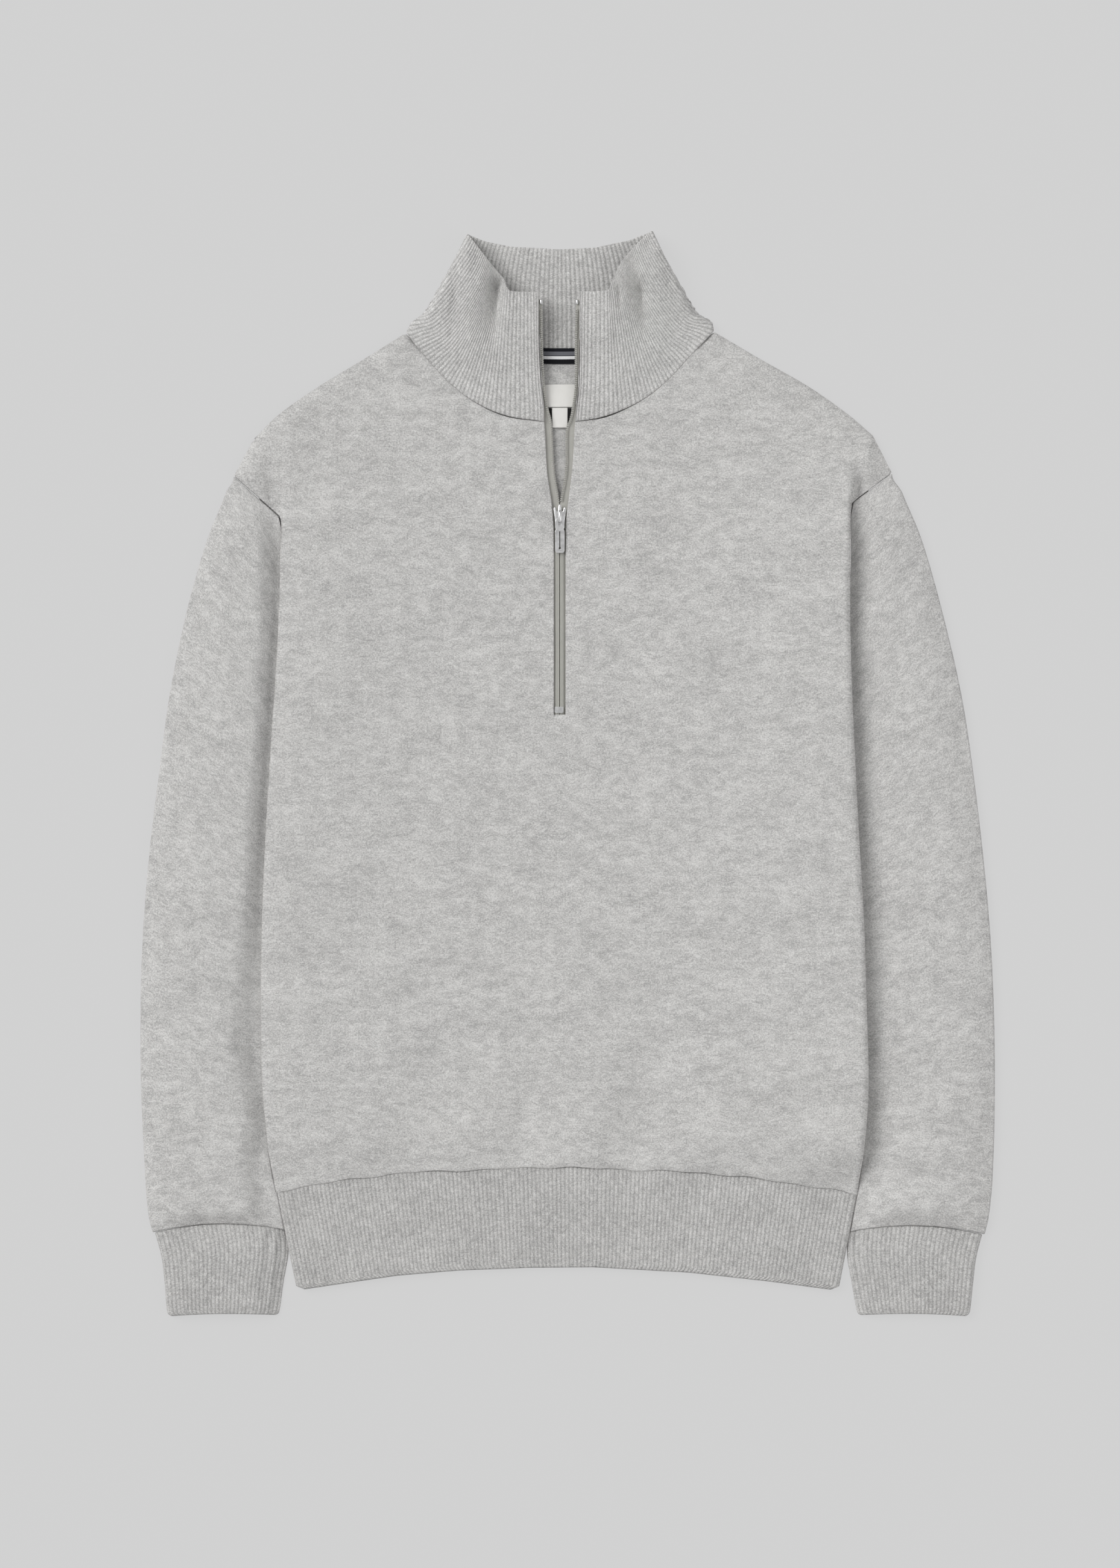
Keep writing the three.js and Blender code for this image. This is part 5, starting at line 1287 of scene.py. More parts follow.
def hem_or_body_edge(side: Side, y: np.ndarray) -> np.ndarray:
    """Side edge of the body, or of the hem band below the hem seam."""
    end = 0 if side is Side.LEFT else -1
    seam_x, seam_y = HEM_SEAM.points()[end]
    low_x, low_y = HEM_LOW.points()[end]
    band = lerp(seam_x, low_x, clamp01((y - seam_y) / (low_y - seam_y)))
    return np.where(y > seam_y, edge_x(side, y), band)


# Bulge of a sleeve's face, how far its fold rounds off, and how steeply it falls to the body's edge
SLEEVE_PUFF = {Side.LEFT: (3.9, 21.0, 2.3), Side.RIGHT: (2.9, 15.0, 1.6)}
# How far a cuff's inner edge turns down, and how much its arch grows below the seam
CUFF_TURN = {Side.LEFT: (4.9, 1.9), Side.RIGHT: (2.4, 0.6)}


@dataclass
class Sleeve:
    """Sleeve that comes out from under the body's side, with its rib cuff."""

    side: Side
    step: float = 2.6

    def shell(self) -> bpy.types.Object:
        """The sleeve's tube."""
        side, out = self.side, -self.side.inwards
        k = spaced(0, 15, self.step / RING_SPACING)
        near = np.array([0.004, 0.012, 0.025])
        k = np.concatenate([[0], near, k[1:-1], 15 - 2 * near[::-1], [15]])
        outer_y, middle_y, inner_y, puff, bow = (
            SLEEVE_RINGS.read(key, k, "k") for key in ("outer", "middle", "inner", "puff", "bow")
        )
        drop = 0.0 if side is Side.LEFT else -1.4
        shift = np.where(k < 0.5, 0, drop * clamp01((-200 - outer_y) / 130))
        tip_x, tip_y = ARM_TIP[side]
        outer_y = outer_y + (tip_y - 0.4 - outer_y[0]) * (1 - smooth(k / 1.5))
        raised = (ARM_DIP[side][1] - 0.3 - middle_y[0]) * (1 - smooth(k / 3))
        middle_y, inner_y = middle_y + raised, inner_y + raised
        outline_x = OUTLINE.read(side.value, outer_y, "y")
        outer_x = np.where(k < 1, lerp(tip_x, outline_x, smooth(k)), outline_x)
        tuck = TUCK_ROWS.read("tuck", inner_y, "y")
        inner_x = hem_or_body_edge(side, inner_y) - out * tuck
        under = smooth((tuck + 1) / 3)
        middle_x = lerp(inner_x + out * 10, hem_or_body_edge(side, middle_y) + out * 0.6, under)
        rings = Rings(
            np.stack([outer_x, outer_y + shift], -1),
            np.stack([middle_x, middle_y + shift], -1),
            np.stack([inner_x, inner_y + shift], -1),
            bow,
            1.7,
        )
        bend = rings.first / rings.length
        hollow = HOLLOW[side].read("wide", middle_y, "y")[:, None]
        bulge, round_off, steep = SLEEVE_PUFF[side]

        def level(share: np.ndarray) -> np.ndarray:
            """Height of the upper face at a share of each ring."""
            t = clamp01(share / bend)
            past = clamp01((share - bend) / (1 - bend))
            x, y = rings.at(share)
            from_edge = (1 - t) * rings.first
            from_fold = t * rings.first
            across = 1 - np.exp(-((from_edge / hollow) ** steep))
            across = across * (1 - np.exp(-from_fold / round_off))
            crease = folded(SLEEVE_FOLDS[side], x, y) * across
            crease = crease + folded(MORE_SLEEVE_FOLDS[side], x, y) * across**0.5
            lift = bulge * puff[:, None] * across
            waves = ripple(x, y, 40, 0.4, 3.0 + out) * across
            return np.maximum(4.6, lerp(5.2, 4.9, t) - 0.3 * past + lift + crease + waves)

        steps = np.linalg.norm(np.diff((rings.outer + rings.inner) / 2, axis=0), axis=1)
        rows = np.concatenate([[0], np.cumsum(steps)])
        top = np.linspace(0, 1, 54)
        low = np.linspace(0, 1, 12)
        tube = Tube(
            f"sleeve_shell_{side.value}", rings, level, CLOTH, rows, top, np.ones(54), low, np.ones(12)
        )
        return tube.build()

    def cuff(self) -> bpy.types.Object:
        """The rib cuff's tube."""
        table = CUFF_RINGS[self.side]
        last = [3.7, 3.8, 3.88, 3.94, 3.97, 4]
        k = np.concatenate([[0, 0.01, 0.03, 0.06], spaced(0.1, 3.6, 0.09), last])
        ox, oy, ix, iy, bow = (table.read(key, k, "k") for key in ("ox", "oy", "ix", "iy", "bow"))
        outer, inner = np.stack([ox, oy], -1), np.stack([ix, iy], -1)
        rings = Rings(outer, (outer + inner) / 2, inner, bow, 2.0)
        height = 5.8 + 0.5 * np.sin(np.pi * k / 4)
        drop, swell = CUFF_TURN[self.side]

        def level(share: np.ndarray) -> np.ndarray:
            """Height of the upper face without the ribs."""
            x, y = rings.at(share)
            waves = ripple(x, y, 34, 0.3, 9.0) * smooth(k[:, None]) * smooth(4 - k[:, None])
            crease = folded(CUFF_FOLDS[self.side], x, y) + puckers(x * 1.2, k[:, None] * 18, 0.15)
            turned = drop * smooth((share - 0.8) / 0.2)
            arch = 1.1 + swell * smooth(k[:, None] / 1.5)
            arch = arch * np.sin(np.pi * clamp01(share)) ** 0.5
            return height[:, None] + arch + waves + crease - turned

        rows = np.concatenate([[0], np.cumsum(np.linalg.norm(np.diff(outer, axis=0), axis=1))])
        top, top_rib = rib_profile(28, 6)
        low, low_rib = rib_profile(28, 4)
        tube = Tube(
            f"cuff_rib_{self.side.value}", rings, level, RIB_WALL, rows, top, top_rib, low, low_rib, RIB_RISE
        )
        return tube.build(0.9)

    def build(self) -> list[bpy.types.Object]:
        """Makes and dresses the sleeve and its cuff."""
        name = self.side.value
        sleeve = Piece(self.shell(), JERSEY, "jersey", f"sleeve_{name}").settle()
        cuff = Piece(self.cuff(), RIB, "rib", f"cuff_{name}").settle()
        return [sleeve, cuff]


@dataclass
class CurvedRings(Rings):
    """Rings whose runs follow two curves, above and below."""

    high: np.ndarray = None
    low: np.ndarray = None
    v: np.ndarray = None
    tuck: np.ndarray = None

    def at(self, share: np.ndarray) -> tuple[np.ndarray, np.ndarray]:
        """Places from above at shares of each ring's run."""
        u = lerp(self.tuck[:, None], 1 - self.tuck[:, None], share)
        beyond = (u - clamp01(u)) * self.length
        place = lerp(on_path(self.high, clamp01(u)), on_path(self.low, clamp01(u)), self.v[:, None, None])
        return place[..., 0] + beyond, place[..., 1]


@dataclass
class HemBand:
    """Rib hem, a tube laid flat below the panels."""

    steps: int = 6

    def shell(self, seam_edge: np.ndarray) -> bpy.types.Object:
        """The band's tube, whose upper edge follows the front's lower one.

        Args:
            seam_edge: The front's lower edge, as points from left to right.

        Returns:
            The new object.
        """
        v = np.concatenate([edge_spaced(HEM_HEIGHT, 2.6)[:-5], [0.955, 0.97, 0.982, 0.992, 1.0]])
        count = int(round(410 / HEM_PITCH))
        from_x, to_x = HEM_SEAM.columns["x"][[0, -1]]
        high = np.vstack([(from_x, seam_edge[0, 1]), seam_edge[:, :2], (to_x, seam_edge[-1, 1])])
        high[:, 1] += 0.3
        tuck = 0.012 * smooth((v - 0.95) / 0.05)
        low = HEM_LOW.points()

        def ends(share: float) -> np.ndarray:
            """Places at one share of every row."""
            u = lerp(tuck, 1 - tuck, share)
            return lerp(on_path(high, u), on_path(low, u), v[:, None])

        rings = CurvedRings(ends(0.0), ends(0.5), ends(1.0), np.zeros(len(v)), 2.0, high, low, v, tuck)

        def level(share: np.ndarray) -> np.ndarray:
            """Height of the upper face without the ribs."""
            x, y = rings.at(share)
            swell = 0.35 * np.sin(np.pi * v)[:, None]
            wave = 0.3 * np.sin(9 * share) * v[:, None]
            soft = ripple(x, y, 44, 0.4, 12.0) * np.sin(np.pi * v)[:, None]
            return 6.0 + swell + wave + soft + puckers(x, v[:, None] * HEM_HEIGHT, 0.2)

        top, top_rib = rib_profile(count, self.steps)
        low_share, low_rib = rib_profile(count, 4)
        rows = v * HEM_HEIGHT
        tube = Tube("hem_rib", rings, level, RIB_WALL, rows, top, top_rib, low_share, low_rib, RIB_RISE)
        return tube.build(0.9)

    def build(self, seam_edge: np.ndarray) -> bpy.types.Object:
        """Makes and dresses the band."""
        band = Piece(self.shell(seam_edge), RIB, "rib", "hem_band").settle()
        return band


# Collar


@dataclass
class Collar:
    """Rib stand collar: one wall from the left zip edge round the back to the right one.

    Its ribs lean towards the zip on both sides, so that those of the back come over the side folds.
    """

    steps: int = 5
    rows: int = 52
    front_run: float = 120.0
    back_run: float = 205.0
    turn_run: float = 9.0
    lean: float = 36.0
    rise: float = 8.8
    fold_front: float = 0.035
    fold_back: float = 0.02
    folds: tuple[Fold, ...] = (
        Fold(-50, 350, -55, 300, 4.6, 8.2, 0.3), Fold(-66, 352, -70, 300, 5, -1.6),
        Fold(-75.5, 378, -78, 322, 5, -2.6, -0.2), Fold(-81, 342, -84, 322, 3.5, 1.8),
        Fold(-41.5, 350, -44, 306, 3.6, -1.4), Fold(53.5, 348, 57, 306, 4.5, 3.4, -0.2),
        Fold(37, 346, 38, 322, 2.6, 2.2), Fold(41, 364, 48, 338, 4.5, -2.4),
        Fold(66, 372, 70, 330, 6, -1.6), Fold(22, 344, 20, 300, 6, -0.8),
    )

    def base(self, v: np.ndarray) -> np.ndarray:
        """Level of the wall's middle on a front half."""
        return FRONT_LOW + self.rise * smooth(v * 1.15)

    def seam(self, side: Side) -> np.ndarray:
        """Neck seam of a front half, from the side fold to the zip."""
        u = np.linspace(0.245, SLIT_FROM, 80) if side is Side.LEFT else np.linspace(0.745, SLIT_TO, 80)
        rows = np.stack([FRONT_TOP.parts(key, u, "u", TOP_CORNERS) for key in ("x", "y")], -1)
        after = np.concatenate([rows[1:], rows[-1:]])
        before = np.concatenate([rows[:1], rows[:-1]])
        along = unit(after - before)
        gap = (-0.4 + 1.1 * np.exp(-np.arange(len(rows)) / 4.0))[:, None] * side.inwards
        return rows + gap * np.stack([-along[:, 1], along[:, 0]], -1)

    def front(self, side: Side, s: np.ndarray, v: float) -> np.ndarray:
        """Middle of a front half's wall at one height, s from the side fold to the zip."""
        edge, top = COLLAR_SIDE[side], COLLAR_TOP[side]
        low = on_path(self.seam(side), s)
        upper = np.stack([top.read("x", s, "s"), top.read("y", s, "s")], -1)
        bulge = ((1 - s) ** 5)[:, None]
        ends = edge.points()[[0, -1]]
        at_side = np.array([edge.read("x", v, "v"), edge.read("y", v, "v")])
        place = lerp(low, upper, v) + bulge * (at_side - lerp(ends[0], ends[1], v))
        x, y = place[:, 0], place[:, 1]
        x = lerp(x, ZIP_OPEN.read(side.value + "Cloth", y, "y"), s**8)
        high = np.sin(np.pi * s) ** 2 * 1.6 if side is Side.LEFT else (1 - s) ** 1.2 * 2.2
        swell = high * smooth(v * 1.5)
        soft = folded(COLLAR_FOLDS, x, y) * smooth(v * 3)
        extra = folded(self.folds, x, y) * smooth(v * 3) * (1 - s**8)
        z = np.maximum(self.base(v) + swell + soft + extra, 3.6)
        return np.stack([x, y, z], -1)

    def back(self, b: np.ndarray, v: float) -> np.ndarray:
        """Middle of the back wall at one height, b from the left fold to the right one."""
        low, high = on_path(COLLAR_BACK_SEAM.points(), b), on_path(COLLAR_BACK_TOP.points(), b)
        place = lerp(low, high, v)
        return np.stack([place[:, 0], place[:, 1], np.full(len(b), RIB_WALL / 2)], -1)

    def turn(self, side: Side, t: np.ndarray, v: float) -> np.ndarray:
        """Half turn from a front half down to the back wall."""
        start = self.front(side, np.array([self.fold_front]), v)[0]
        b = self.fold_back if side is Side.LEFT else 1 - self.fold_back
        end = self.back(np.array([b]), v)[0]
        edge = COLLAR_SIDE[side]
        angle = np.pi * t
        half = (start[2] - RIB_WALL / 2) / 2
        push = np.sin(angle)
        inset = side.inwards * (RIB_WALL / 2 + RIB_RISE / 2)
        halfway = (start + end) / 2
        x = lerp(start[0], end[0], t) + push * (edge.read("x", v, "v") + inset - halfway[0])
        y = lerp(start[1], end[1], t) + push * (edge.read("y", v, "v") - 0.6 - halfway[1])
        return np.stack([x, y, RIB_WALL / 2 + half + half * np.cos(angle)], -1)

    def loop(self, v: float) -> tuple[np.ndarray, np.ndarray]:
        """Run and points of the whole wall at one height, from the left zip edge to the right one."""
        s = np.linspace(1, self.fold_front, 300)
        t = np.linspace(0, 1, 24)
        b = np.linspace(self.fold_back, 1 - self.fold_back, 300)
        points = [
            self.front(Side.LEFT, s, v), self.turn(Side.LEFT, t, v)[1:], self.back(b, v)[1:],
            self.turn(Side.RIGHT, t[::-1], v)[1:], self.front(Side.RIGHT, s[::-1], v)[1:],
        ]
        stretches = [self.front_run, self.turn_run, self.back_run, self.turn_run, self.front_run]
        marks = np.cumsum([0] + stretches)
        runs = [
            np.linspace(marks[i], marks[i + 1], len(part) + (i > 0))[(i > 0):]
            for i, part in enumerate(points)
        ]
        return np.concatenate(runs), np.concatenate(points)

    def build(self) -> bpy.types.Object:
        """Makes and dresses the collar."""
        total = 2 * (self.front_run + self.turn_run) + self.back_run
        count = int(round(total / RIB_PITCH))
        share, rib = rib_profile(count, self.steps)
        run = share * total
        fold_at = self.front_run + self.turn_run / 2
        centre = total / 2
        from_fold = np.minimum(run, total - run)
        outside = smooth((from_fold / fold_at - 0.3) / 0.7)
        behind = np.sin(np.pi / 2 * clamp01((centre - from_fold) / (centre - fold_at))) ** 1.2
        lean = self.lean * np.where(from_fold < fold_at, outside, behind) * np.where(run < centre, -1, 1)
        v = edge_spaced(COLLAR_HEIGHT, COLLAR_HEIGHT / self.rows)
        height_mm = v[:, None] * COLLAR_HEIGHT
        middle = np.empty((len(v), len(run), 3))
        for r, height in enumerate(v):
            places, points = self.loop(float(height))
            at = run + lean * (1 - (1 - height) ** 1.6)
            for axis in range(3):
                middle[r, :, axis] = np.interp(at, places, points[:, axis])
        out = -normals(middle)
        distance = np.minimum(v, 1 - v)[:, None] * COLLAR_HEIGHT
        distance = np.minimum(distance, np.minimum(run, total - run)[None, :])
        keep = rim(distance)
        # Painted shade along the neck seam, on both faces of the wall.
        seam = np.exp(-((height_mm / 1.3) ** 2)) + 0 * keep
        rise = RIB_RISE * rib[None, :] * keep
        half = out * (RIB_WALL / 2 * keep + rise)[..., None]
        outer, inner = middle + half, middle - half
        outer[..., 2] = np.maximum(outer[..., 2], 0)
        inner[..., 2] = np.maximum(inner[..., 2], 0.1)
        flat = np.stack([run[None, :] + 0 * keep, height_mm + 0 * keep], -1)
        ribs = rib[None, :] + 0 * keep
        obj = cloth_mesh("collar_rib", Face(inner, flat + 9, ribs, seam), Face(outer, flat, ribs, seam))
        collar = Piece(obj, COLLAR_RIB_PAINTED_LIGHTER, "rib", "collar").settle()
        return collar


# Zip


def box_mesh(
    name: str, points: Sequence[tuple[float, float]], low: float, high: float, bevel: float
) -> bpy.types.Object:
    """Plate with a plan of points between two heights, its edges rounded.

    Args:
        name: The piece's name.
        points: The plan, counter-clockwise, in millimetres.
        low: Underside.
        high: Top.
        bevel: Radius of its edges.

    Returns:
        The new object.
    """
    count = len(points)
    vertices = [(x * MM, y * MM, z * MM) for z in (low, high) for x, y in points]
    faces = [tuple(range(count))[::-1], tuple(range(count, 2 * count))]
    faces += [(i, (i + 1) % count, count + (i + 1) % count, count + i) for i in range(count)]
    obj = meshed(name, vertices, faces)
    rounding = obj.modifiers.new("rounding", "BEVEL")
    rounding.width = bevel * MM
    rounding.segments = 3
    rounding.limit_method = "ANGLE"
    return obj


def swept(
    name: str, path: np.ndarray, first: np.ndarray, second: np.ndarray, sides: int
) -> bpy.types.Object:
    """Closed tube round a path.

    Args:
        name: The piece's name.
        path: Its middle line, in millimetres.
        first: Half an axis of its section, one for each point.
        second: Half of the other axis.
        sides: Number of its sides.

    Returns:
        The new object.
    """
    angle = np.linspace(0, 2 * np.pi, sides + 1)[None, :-1, None]
    tube = path[:, None] + np.cos(angle) * first[:, None] + np.sin(angle) * second[:, None]
    count = len(path)
    i, j = np.meshgrid(np.arange(count - 1), np.arange(sides), indexing="ij")
    k = (j + 1) % sides
    faces = np.stack([i * sides + j, i * sides + k, (i + 1) * sides + k, (i + 1) * sides + j], -1)
    caps = [list(range(sides))[::-1], [(count - 1) * sides + n for n in range(sides)]]
    return meshed(name, (tube.reshape(-1, 3) * MM).tolist(), faces.reshape(-1, 4).tolist() + caps)


def tape_level(y: Number) -> np.ndarray:
    """Height of the zip tape's middle, under the front and then under the collar."""
    v = clamp01((y - NECK_Y) / 93.6)
    low = FRONT_LOW - CLOTH / 2 - 0.9
    high = FRONT_LOW + Collar.rise * smooth(v * 1.15) - RIB_WALL / 2 - 1.0
    return np.where(y < NECK_Y, low, high)


@dataclass
class Zip:
    """Coil zip: tapes, coils, slider and pull, stops."""

    coil_pitch: float = 1.35
    wire: float = 0.33

    coil_radius: float = 0.85
    coil_from: float = 197.5
    coil_to: float = 336.5

    def coil(self, side: Side) -> bpy.types.Object:
        """Helix of nylon wire along the inner edge of one tape of the open stretch."""
        turns = (self.coil_to - self.coil_from) / self.coil_pitch
        t = np.linspace(0, 1, int(turns * 9))
        y = lerp(self.coil_from, self.coil_to, t)
        angle = 2 * np.pi * turns * t * side.inwards
        x = ZIP_OPEN.read(side.value + "Tape", y, "y") - side.inwards * 0.7
        centre = np.stack([x, y, tape_level(y) + 1.25], -1)
        loops = np.stack([np.cos(angle), 0 * y, 0.75 * np.sin(angle)], -1)
        path = centre + self.coil_radius * loops
        ahead = unit(np.gradient(path, axis=0))
        out = unit(path - centre)
        across = np.cross(ahead, out)
        obj = swept(f"coil_{side.value}", path, self.wire * out, self.wire * across, 5)
        return Piece(obj, ZIP_COIL, "zip_coil").settle()

    def tape(self, side: Side) -> bpy.types.Object:
        """Tape of the open stretch, from under the cloth's edge to its coil."""
        y = spaced(178.0, 343.5, 1.2)
        inner = ZIP_OPEN.read(side.value + "Tape", y, "y")
        hidden = ZIP_OPEN.read(side.value + "Cloth", y, "y") - side.inwards * 4
        share = np.array([0, 0.02, 0.25, 0.5, 0.75, 0.98, 1.0])
        x = lerp(hidden[:, None], inner[:, None], share[None, :])
        if side is Side.RIGHT:
            x = x[:, ::-1]
        level = tape_level(y)[:, None] + 0 * x
        top = np.stack([x, y[:, None] + 0 * x, level + 0.4], -1)
        under = np.stack([x, y[:, None] + 0 * x, level - 0.4], -1)
        obj = slab(f"tape_cloth_{side.value}", top, under)
        return Piece(obj, ZIP_TAPE, "zip_tape", f"zip_tape_{side.value}").settle()

    def top_stop(self, side: Side) -> bpy.types.Object:
        """Small rounded stop clamped on the coil's upper end."""
        y = 341.6
        x = float(ZIP_OPEN.read(side.value + "Tape", y, "y")) - side.inwards * 0.7
        level = float(tape_level(y))
        plan = [(x - 1, y - 1.7), (x + 1, y - 1.7), (x + 1, y + 1.7), (x - 1, y + 1.7)]
        block = box_mesh(f"stop_block_{side.value}", plan, level - 0.5, level + 2.5, 0.6)
        stop = self.join(f"top_stop_{side.value}", [block])
        return Piece(stop, STEEL, "steel", f"zip_top_stop_{side.value}").settle()

    def chain(self) -> bpy.types.Object:
        """Closed stretch: two tape halves that meet over the hidden coil, with its stitch lines and painted
        shade where the halves meet.
        """
        x = np.array([-10.1, -6.4, -4.4, -3.4, -2.9, -2.5, -2.1, -1.8, -1.3, -0.8, -0.42, -0.24, -0.12, 0])
        z = np.array([0.0, 0.0, 0.1, 0.35, 0.75, 1.0, 0.98, 0.86, 1.05, 1.12, 1.05, 0.75, 0.15, -0.2])
        x = np.concatenate([x, -x[-2::-1]])
        z = np.concatenate([z, z[-2::-1]])
        y = spaced(36.2, 187.8, 0.7)
        from_stitch = np.abs(x) - 1.95
        stitch = 0.1 * np.cos(2 * np.pi * y / 1.4)[:, None] * np.exp(-((from_stitch / 0.25) ** 2))[None, :]
        narrow = np.where(y > 176.6, 3.6 / 10.1, 1.0)[:, None]
        level = float(tape_level(0.0))
        top = level + 0.5 + z[None, :] * 1.25 + stitch
        grid = np.stack([ZIP_X + x[None, :] * narrow, y[:, None] + 0 * top, top], -1)
        under = grid.copy()
        under[..., 2] = level - 0.5
        # Painted shade along the line where the two halves meet, and darker stitch lines beside it.
        lines = 0.8 * np.exp(-((x / 0.28) ** 2)) + 0.4 * np.exp(-((from_stitch / 0.3) ** 2))
        obj = slab("zip_chain_face", grid, under, line=lines[None, :])
        return Piece(obj, ZIP_CHAIN, "zip_coil", "zip_chain").settle()

    def slider(self) -> bpy.types.Object:
        """Slider body with two horns, a post between them and the crown that holds the pull."""
        right = [
            (2.0, 177.5), (3.2, 178.8), (3.5, 184), (4.3, 189.6), (4.6, 192.2), (4.1, 193.3), (3.0, 193.2),
            (2.4, 190.6), (1.4, 190.0), (1.1, 194.4), (0.5, 195.4),
        ]
        outline = [(ZIP_X + x, y) for x, y in right]
        outline += [(ZIP_X - x, y) for x, y in reversed(right)]
        top = box_mesh("slider_top", outline, 7.3, 8.3, 0.35)
        bottom = box_mesh("slider_bottom", outline, 2.8, 3.8, 0.3)
        post = box_mesh("slider_post", self.oblong(0.9, 189.5, 192.5), 3.0, 8.2, 0.1)
        joined = self.join("slider_body", [top, bottom, post, self.crown()])
        return Piece(joined, STEEL, "steel", "zip_slider").settle()

    @staticmethod
    def oblong(half: float, low: float, high: float) -> list[tuple[float, float]]:
        """Plan of a rectangle across the zip's line."""
        return [(ZIP_X - half, low), (ZIP_X + half, low), (ZIP_X + half, high), (ZIP_X - half, high)]

    def crown(self) -> bpy.types.Object:
        """Arch over the slider that the pull's eye runs under."""
        t = np.linspace(0, np.pi, 17)
        y = 186.5 + 4.3 * np.cos(t)
        z = 7.9 + 3.0 * np.sin(t) ** 0.55
        path = np.stack([np.full(17, ZIP_X), y, z], -1)
        wide = np.array([[1.0, 0, 0]])
        up = np.cross(unit(np.gradient(path, axis=0)), wide)
        return swept("slider_crown", path, wide, 0.45 * up, 8)

    @staticmethod
    def join(name: str, parts: Sequence[bpy.types.Object]) -> bpy.types.Object:
        """Joins parts, with their modifiers applied, into one mesh."""
        graph = bpy.context.evaluated_depsgraph_get()
        vertices: list = []
        faces: list = []
        for part in parts:
            mesh = bpy.data.meshes.new_from_object(part.evaluated_get(graph))
            start = len(vertices)
            vertices += [tuple(v.co) for v in mesh.vertices]
            faces += [tuple(start + i for i in p.vertices) for p in mesh.polygons]
            bpy.data.objects.remove(part)
        obj = meshed(name, vertices, faces)
        obj.data.set_sharp_from_angle(angle=math.radians(40))
        return obj

    def pull(self) -> bpy.types.Object:
        """Pull tab: an eye round the crown's lower leg and a slim plate with a slot."""
        tilt = math.radians(2.4)
        pivot_y, pivot_z = 183.95, 9.3
        outer = [
            (-1.8, 1.2), (-2.8, 0.4), (-3.1, -2.0), (-3.1, -5.4), (-2.5, -6.7), (-3.1, -7.6), (-3.2, -9.0),
            (-3.2, -22.4), (-2.3, -23.6),
        ]
        rim_points = outer + [(-x, y) for x, y in reversed(outer)]
        eye = [(-1.3, -0.6), (-1.3, -3.8), (1.3, -3.8), (1.3, -0.6)]
        slot = [
            (-0.5, -8.0), (-0.5, -19.2), (-0.9, -19.7), (-0.9, -21.2),
            (0.9, -21.2), (0.9, -19.7), (0.5, -19.2), (0.5, -8.0),
        ]
        curve = bpy.data.curves.new("pull_plan", "CURVE")
        curve.dimensions = "2D"
        curve.fill_mode = "BOTH"
        curve.extrude = 0.42 * MM
        curve.bevel_depth = 0.18 * MM
        curve.bevel_resolution = 2
        for loop in (rim_points, eye, slot):
            spline = curve.splines.new("POLY")
            spline.points.add(len(loop) - 1)
            for point, (x, y) in zip(spline.points, loop):
                point.co = (x * MM, y * MM, 0, 1)
            spline.use_cyclic_u = True
        flat = bpy.data.objects.new("pull_plan", curve)
        bpy.context.scene.collection.objects.link(flat)
        graph = bpy.context.evaluated_depsgraph_get()
        mesh = bpy.data.meshes.new_from_object(flat.evaluated_get(graph))
        bpy.data.objects.remove(flat)
        for vertex in mesh.vertices:
            x, y, z = vertex.co
            vertex.co = (
                x + ZIP_X * MM,
                y * math.cos(tilt) - z * math.sin(tilt) + pivot_y * MM,
                y * math.sin(tilt) + z * math.cos(tilt) + pivot_z * MM,
            )
        obj = linked("pull_tab", mesh)
        mesh.set_sharp_from_angle(angle=math.radians(40))
        return Piece(obj, STEEL, "steel", "zip_pull", "pull").settle()

    def build(self) -> None:
        """Makes and dresses the zip."""
        WARDROBE.dress(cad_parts["zip_bottom_stop"], STEEL)
        for side in Side:
            self.coil(side)
            self.tape(side)
            self.top_stop(side)
        self.chain()
        self.slider()
        self.pull()


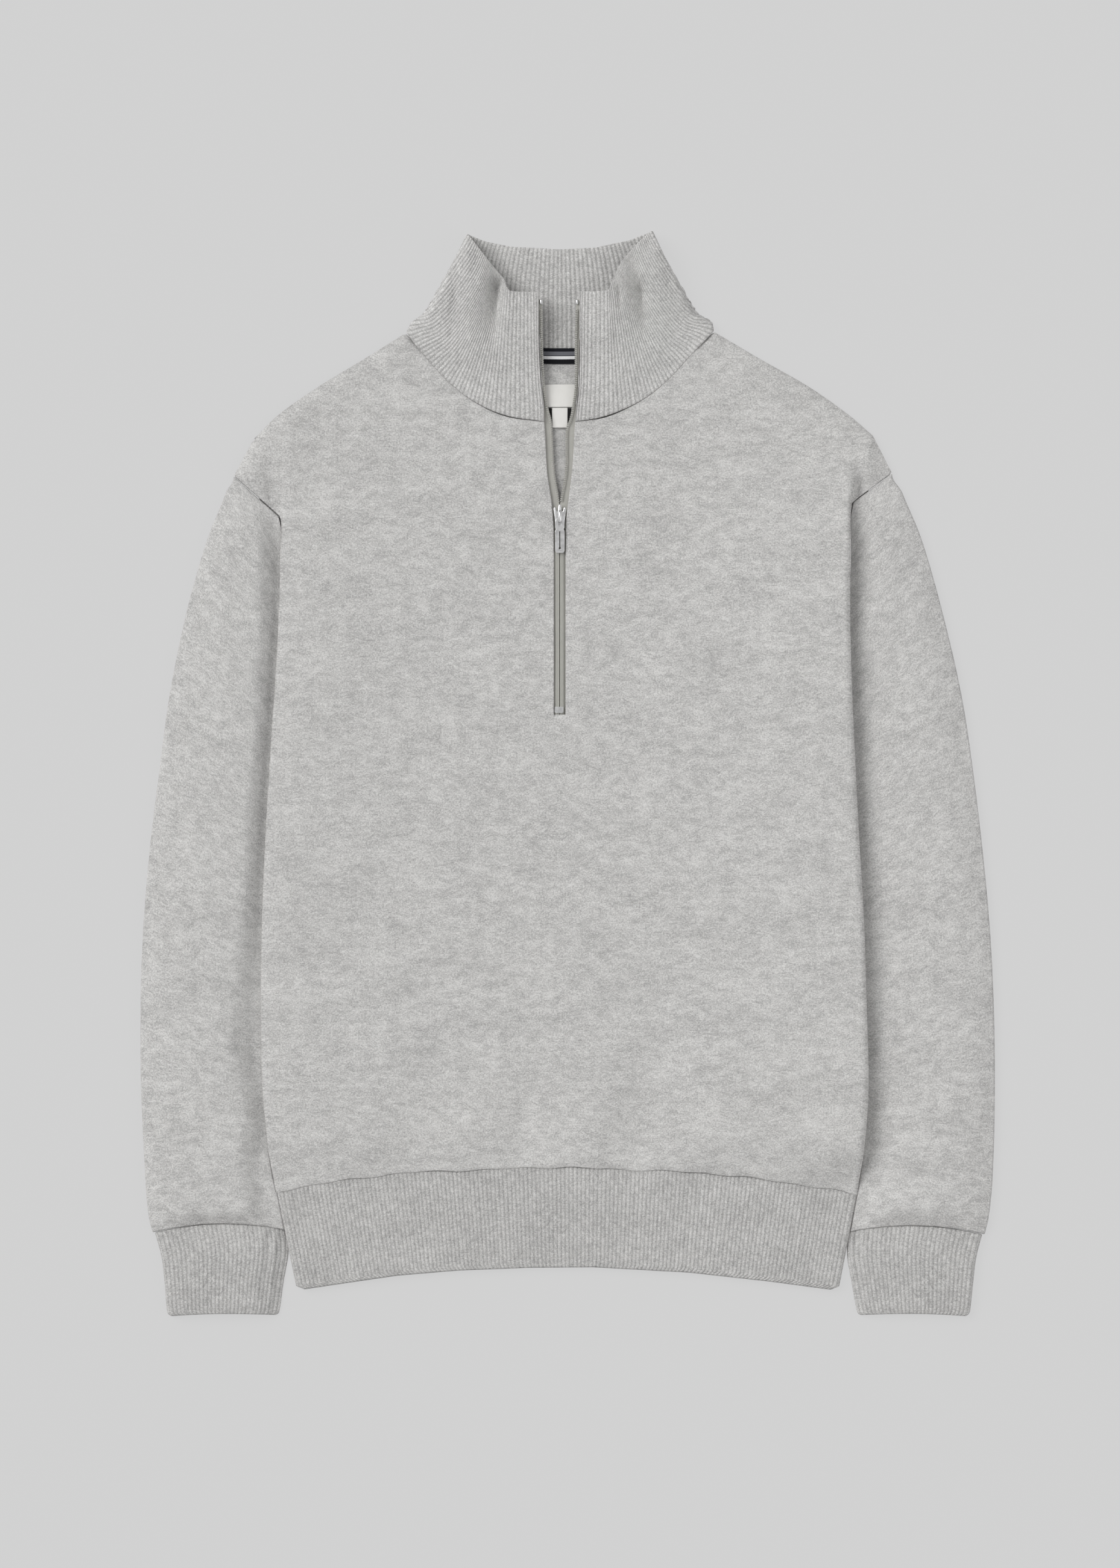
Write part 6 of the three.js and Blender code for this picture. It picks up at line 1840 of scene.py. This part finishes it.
@dataclass
class NeckInside:
    """Striped tape over the back neck seam, the bare label and its small tab."""

    tape_width: float = 11.5
    tape_lift: float = 2.5
    tape_thick: float = 0.8

    def tape(self) -> bpy.types.Object:
        """The striped tape, which follows the seam."""
        x = spaced(-88, 78, 2.0)[None, :]
        w = np.array([0, 0.02, 0.2, 0.4, 0.6, 0.8, 0.98, 1.0])[:, None]
        y = COLLAR_BACK_SEAM.read("y", x, "x") + (w - 0.5) * self.tape_width
        crown = self.tape_thick * np.sin(np.pi * np.clip(w, 0.02, 0.98)) ** 0.25
        top = np.stack([x + 0 * w, y, self.tape_lift + crown + 0 * x], -1)
        under = np.stack([x + 0 * w, y, self.tape_lift + 0 * y], -1)
        flat = np.stack([x + 0 * w, w * self.tape_width + 0 * x], -1)
        obj = slab("neck_tape_cloth", top, under, flat)
        return Piece(obj, NECK_TAPE, "neck_tape", "neck_tape").settle()

    def patch(self, node: str, finish: object, slot: str, curl: float) -> bpy.types.Object:
        """Small piece of woven cloth on the place of its CAD solid.

        Args:
            node: The CAD node that it replaces.
            finish: What it is dressed in.
            slot: Its material slot, kept on the piece but not used.
            curl: How far its lower edge lifts, in millimetres.

        Returns:
            The new object.
        """
        low, high = (np.array(corner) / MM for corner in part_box(node))
        x = np.linspace(low[0], high[0], 25)[None, :]
        y = np.linspace(low[1], high[1], 17)[:, None]
        across = (x - low[0]) / (high[0] - low[0])
        along = (y - low[1]) / (high[1] - low[1])
        lift = curl * (1 - along) ** 2 * np.sin(np.pi * across) ** 0.5 + 0 * x
        top = np.stack([x + 0 * y, y + 0 * x, high[2] + lift], -1)
        under = np.stack([x + 0 * y, y + 0 * x, low[2] + lift * 0.9], -1)
        return Piece(slab(f"{node}_cloth", top, under), finish, slot, node).settle()

    def build(self) -> None:
        """Makes and dresses the pieces inside the neck."""
        self.tape()
        self.patch("label", LABEL, "label", 0.25)
        self.patch("size_tab_back", DARK_STRIP_BEHIND_TAB, "tab_back", 0.0)
        self.patch("size_tab", LABEL, "label", 0.3)


@dataclass
class Studio:
    """Pale floor, soft light from the upper left and a camera straight above."""

    floor_glow: float = 0.575
    floor_albedo: float = 0.065
    sky: float = 0.5
    sun: float = 1.95
    sun_angle: float = 38.0
    fill: float = 0.7
    fill_angle: float = 60.0
    fill_from: tuple[float, float, float] = (1.0, -0.2, 0.42)
    sun_from: tuple[float, float, float] = (-0.8, 0.5, 0.88)
    lens: float = 200.0
    sensor: float = 36.0
    floor_half: float = 4.0
    focus_height: float = 6 * MM

    def build(self) -> None:
        """Makes the floor, the lights and the camera."""
        scene = bpy.context.scene
        mesh = bpy.data.meshes.new("floor")
        size = self.floor_half
        corners = [(-size, -size, 0), (size, -size, 0), (size, size, 0), (-size, size, 0)]
        mesh.from_pydata(corners, [], [(0, 1, 2, 3)])
        floor = bpy.data.objects.new("floor", mesh)
        scene.collection.objects.link(floor)
        g = Graph("pale floor")
        g.constant(Specular_IOR_Level=0.0)
        g.constant(Emission_Strength=self.floor_glow)
        g.surface.inputs["Emission Color"].default_value = (1, 1, 1, 1)
        g.finish((self.floor_albedo,) * 3 + (1,), 1.0)
        mesh.materials.append(g.material)
        world = bpy.data.worlds.new("studio")
        world.use_nodes = True
        background = world.node_tree.nodes["Background"]
        background.inputs["Color"].default_value = (1, 1, 1, 1)
        background.inputs["Strength"].default_value = self.sky
        scene.world = world
        self.lamp("window", self.sun, self.sun_angle, self.sun_from)
        self.lamp("fill", self.fill, self.fill_angle, self.fill_from)
        scene.view_settings.view_transform = "Standard"
        scene.view_settings.look = "None"
        camera = bpy.data.cameras.new("camera")
        camera.lens = self.lens
        camera.sensor_width = self.sensor
        view_height = IMAGE_HEIGHT * MM_PER_PIXEL * MM
        distance = view_height / 2 / (self.sensor / 2 / self.lens)
        holder = bpy.data.objects.new("camera", camera)
        pixel = MM_PER_PIXEL * MM
        across, down = ORIGIN_PIXEL
        holder.location = (
            (IMAGE_WIDTH / 2 - across) * pixel,
            (down - IMAGE_HEIGHT / 2) * pixel,
            distance + self.focus_height,
        )
        scene.collection.objects.link(holder)
        camera.clip_end = 50
        scene.camera = holder

    @staticmethod
    def lamp(name: str, energy: float, angle: float, place: tuple[float, float, float]) -> None:
        """Adds a soft distant light.

        Args:
            name: The light's name.
            energy: Its strength.
            angle: How wide it looks, in degrees.
            place: The direction that it comes from.
        """
        light = bpy.data.lights.new(name, "SUN")
        light.energy = energy
        light.angle = math.radians(angle)
        holder = bpy.data.objects.new(name, light)
        holder.rotation_mode = "QUATERNION"
        holder.rotation_quaternion = Vector(place).to_track_quat("Z", "Y")
        bpy.context.scene.collection.objects.link(holder)


def main() -> None:
    """Builds the sweater and its studio."""
    logging.basicConfig(level=logging.INFO, format="%(message)s")
    Studio().build()
    body = Body()
    body.build()
    for side in Side:
        Sleeve(side).build()
    edge = body.front_middle(np.array([0.0]), np.linspace(0, 1, 60))[0]
    HemBand().build(edge)
    Collar().build()
    Zip().build()
    NeckInside().build()


if __name__ == "__main__":
    main()
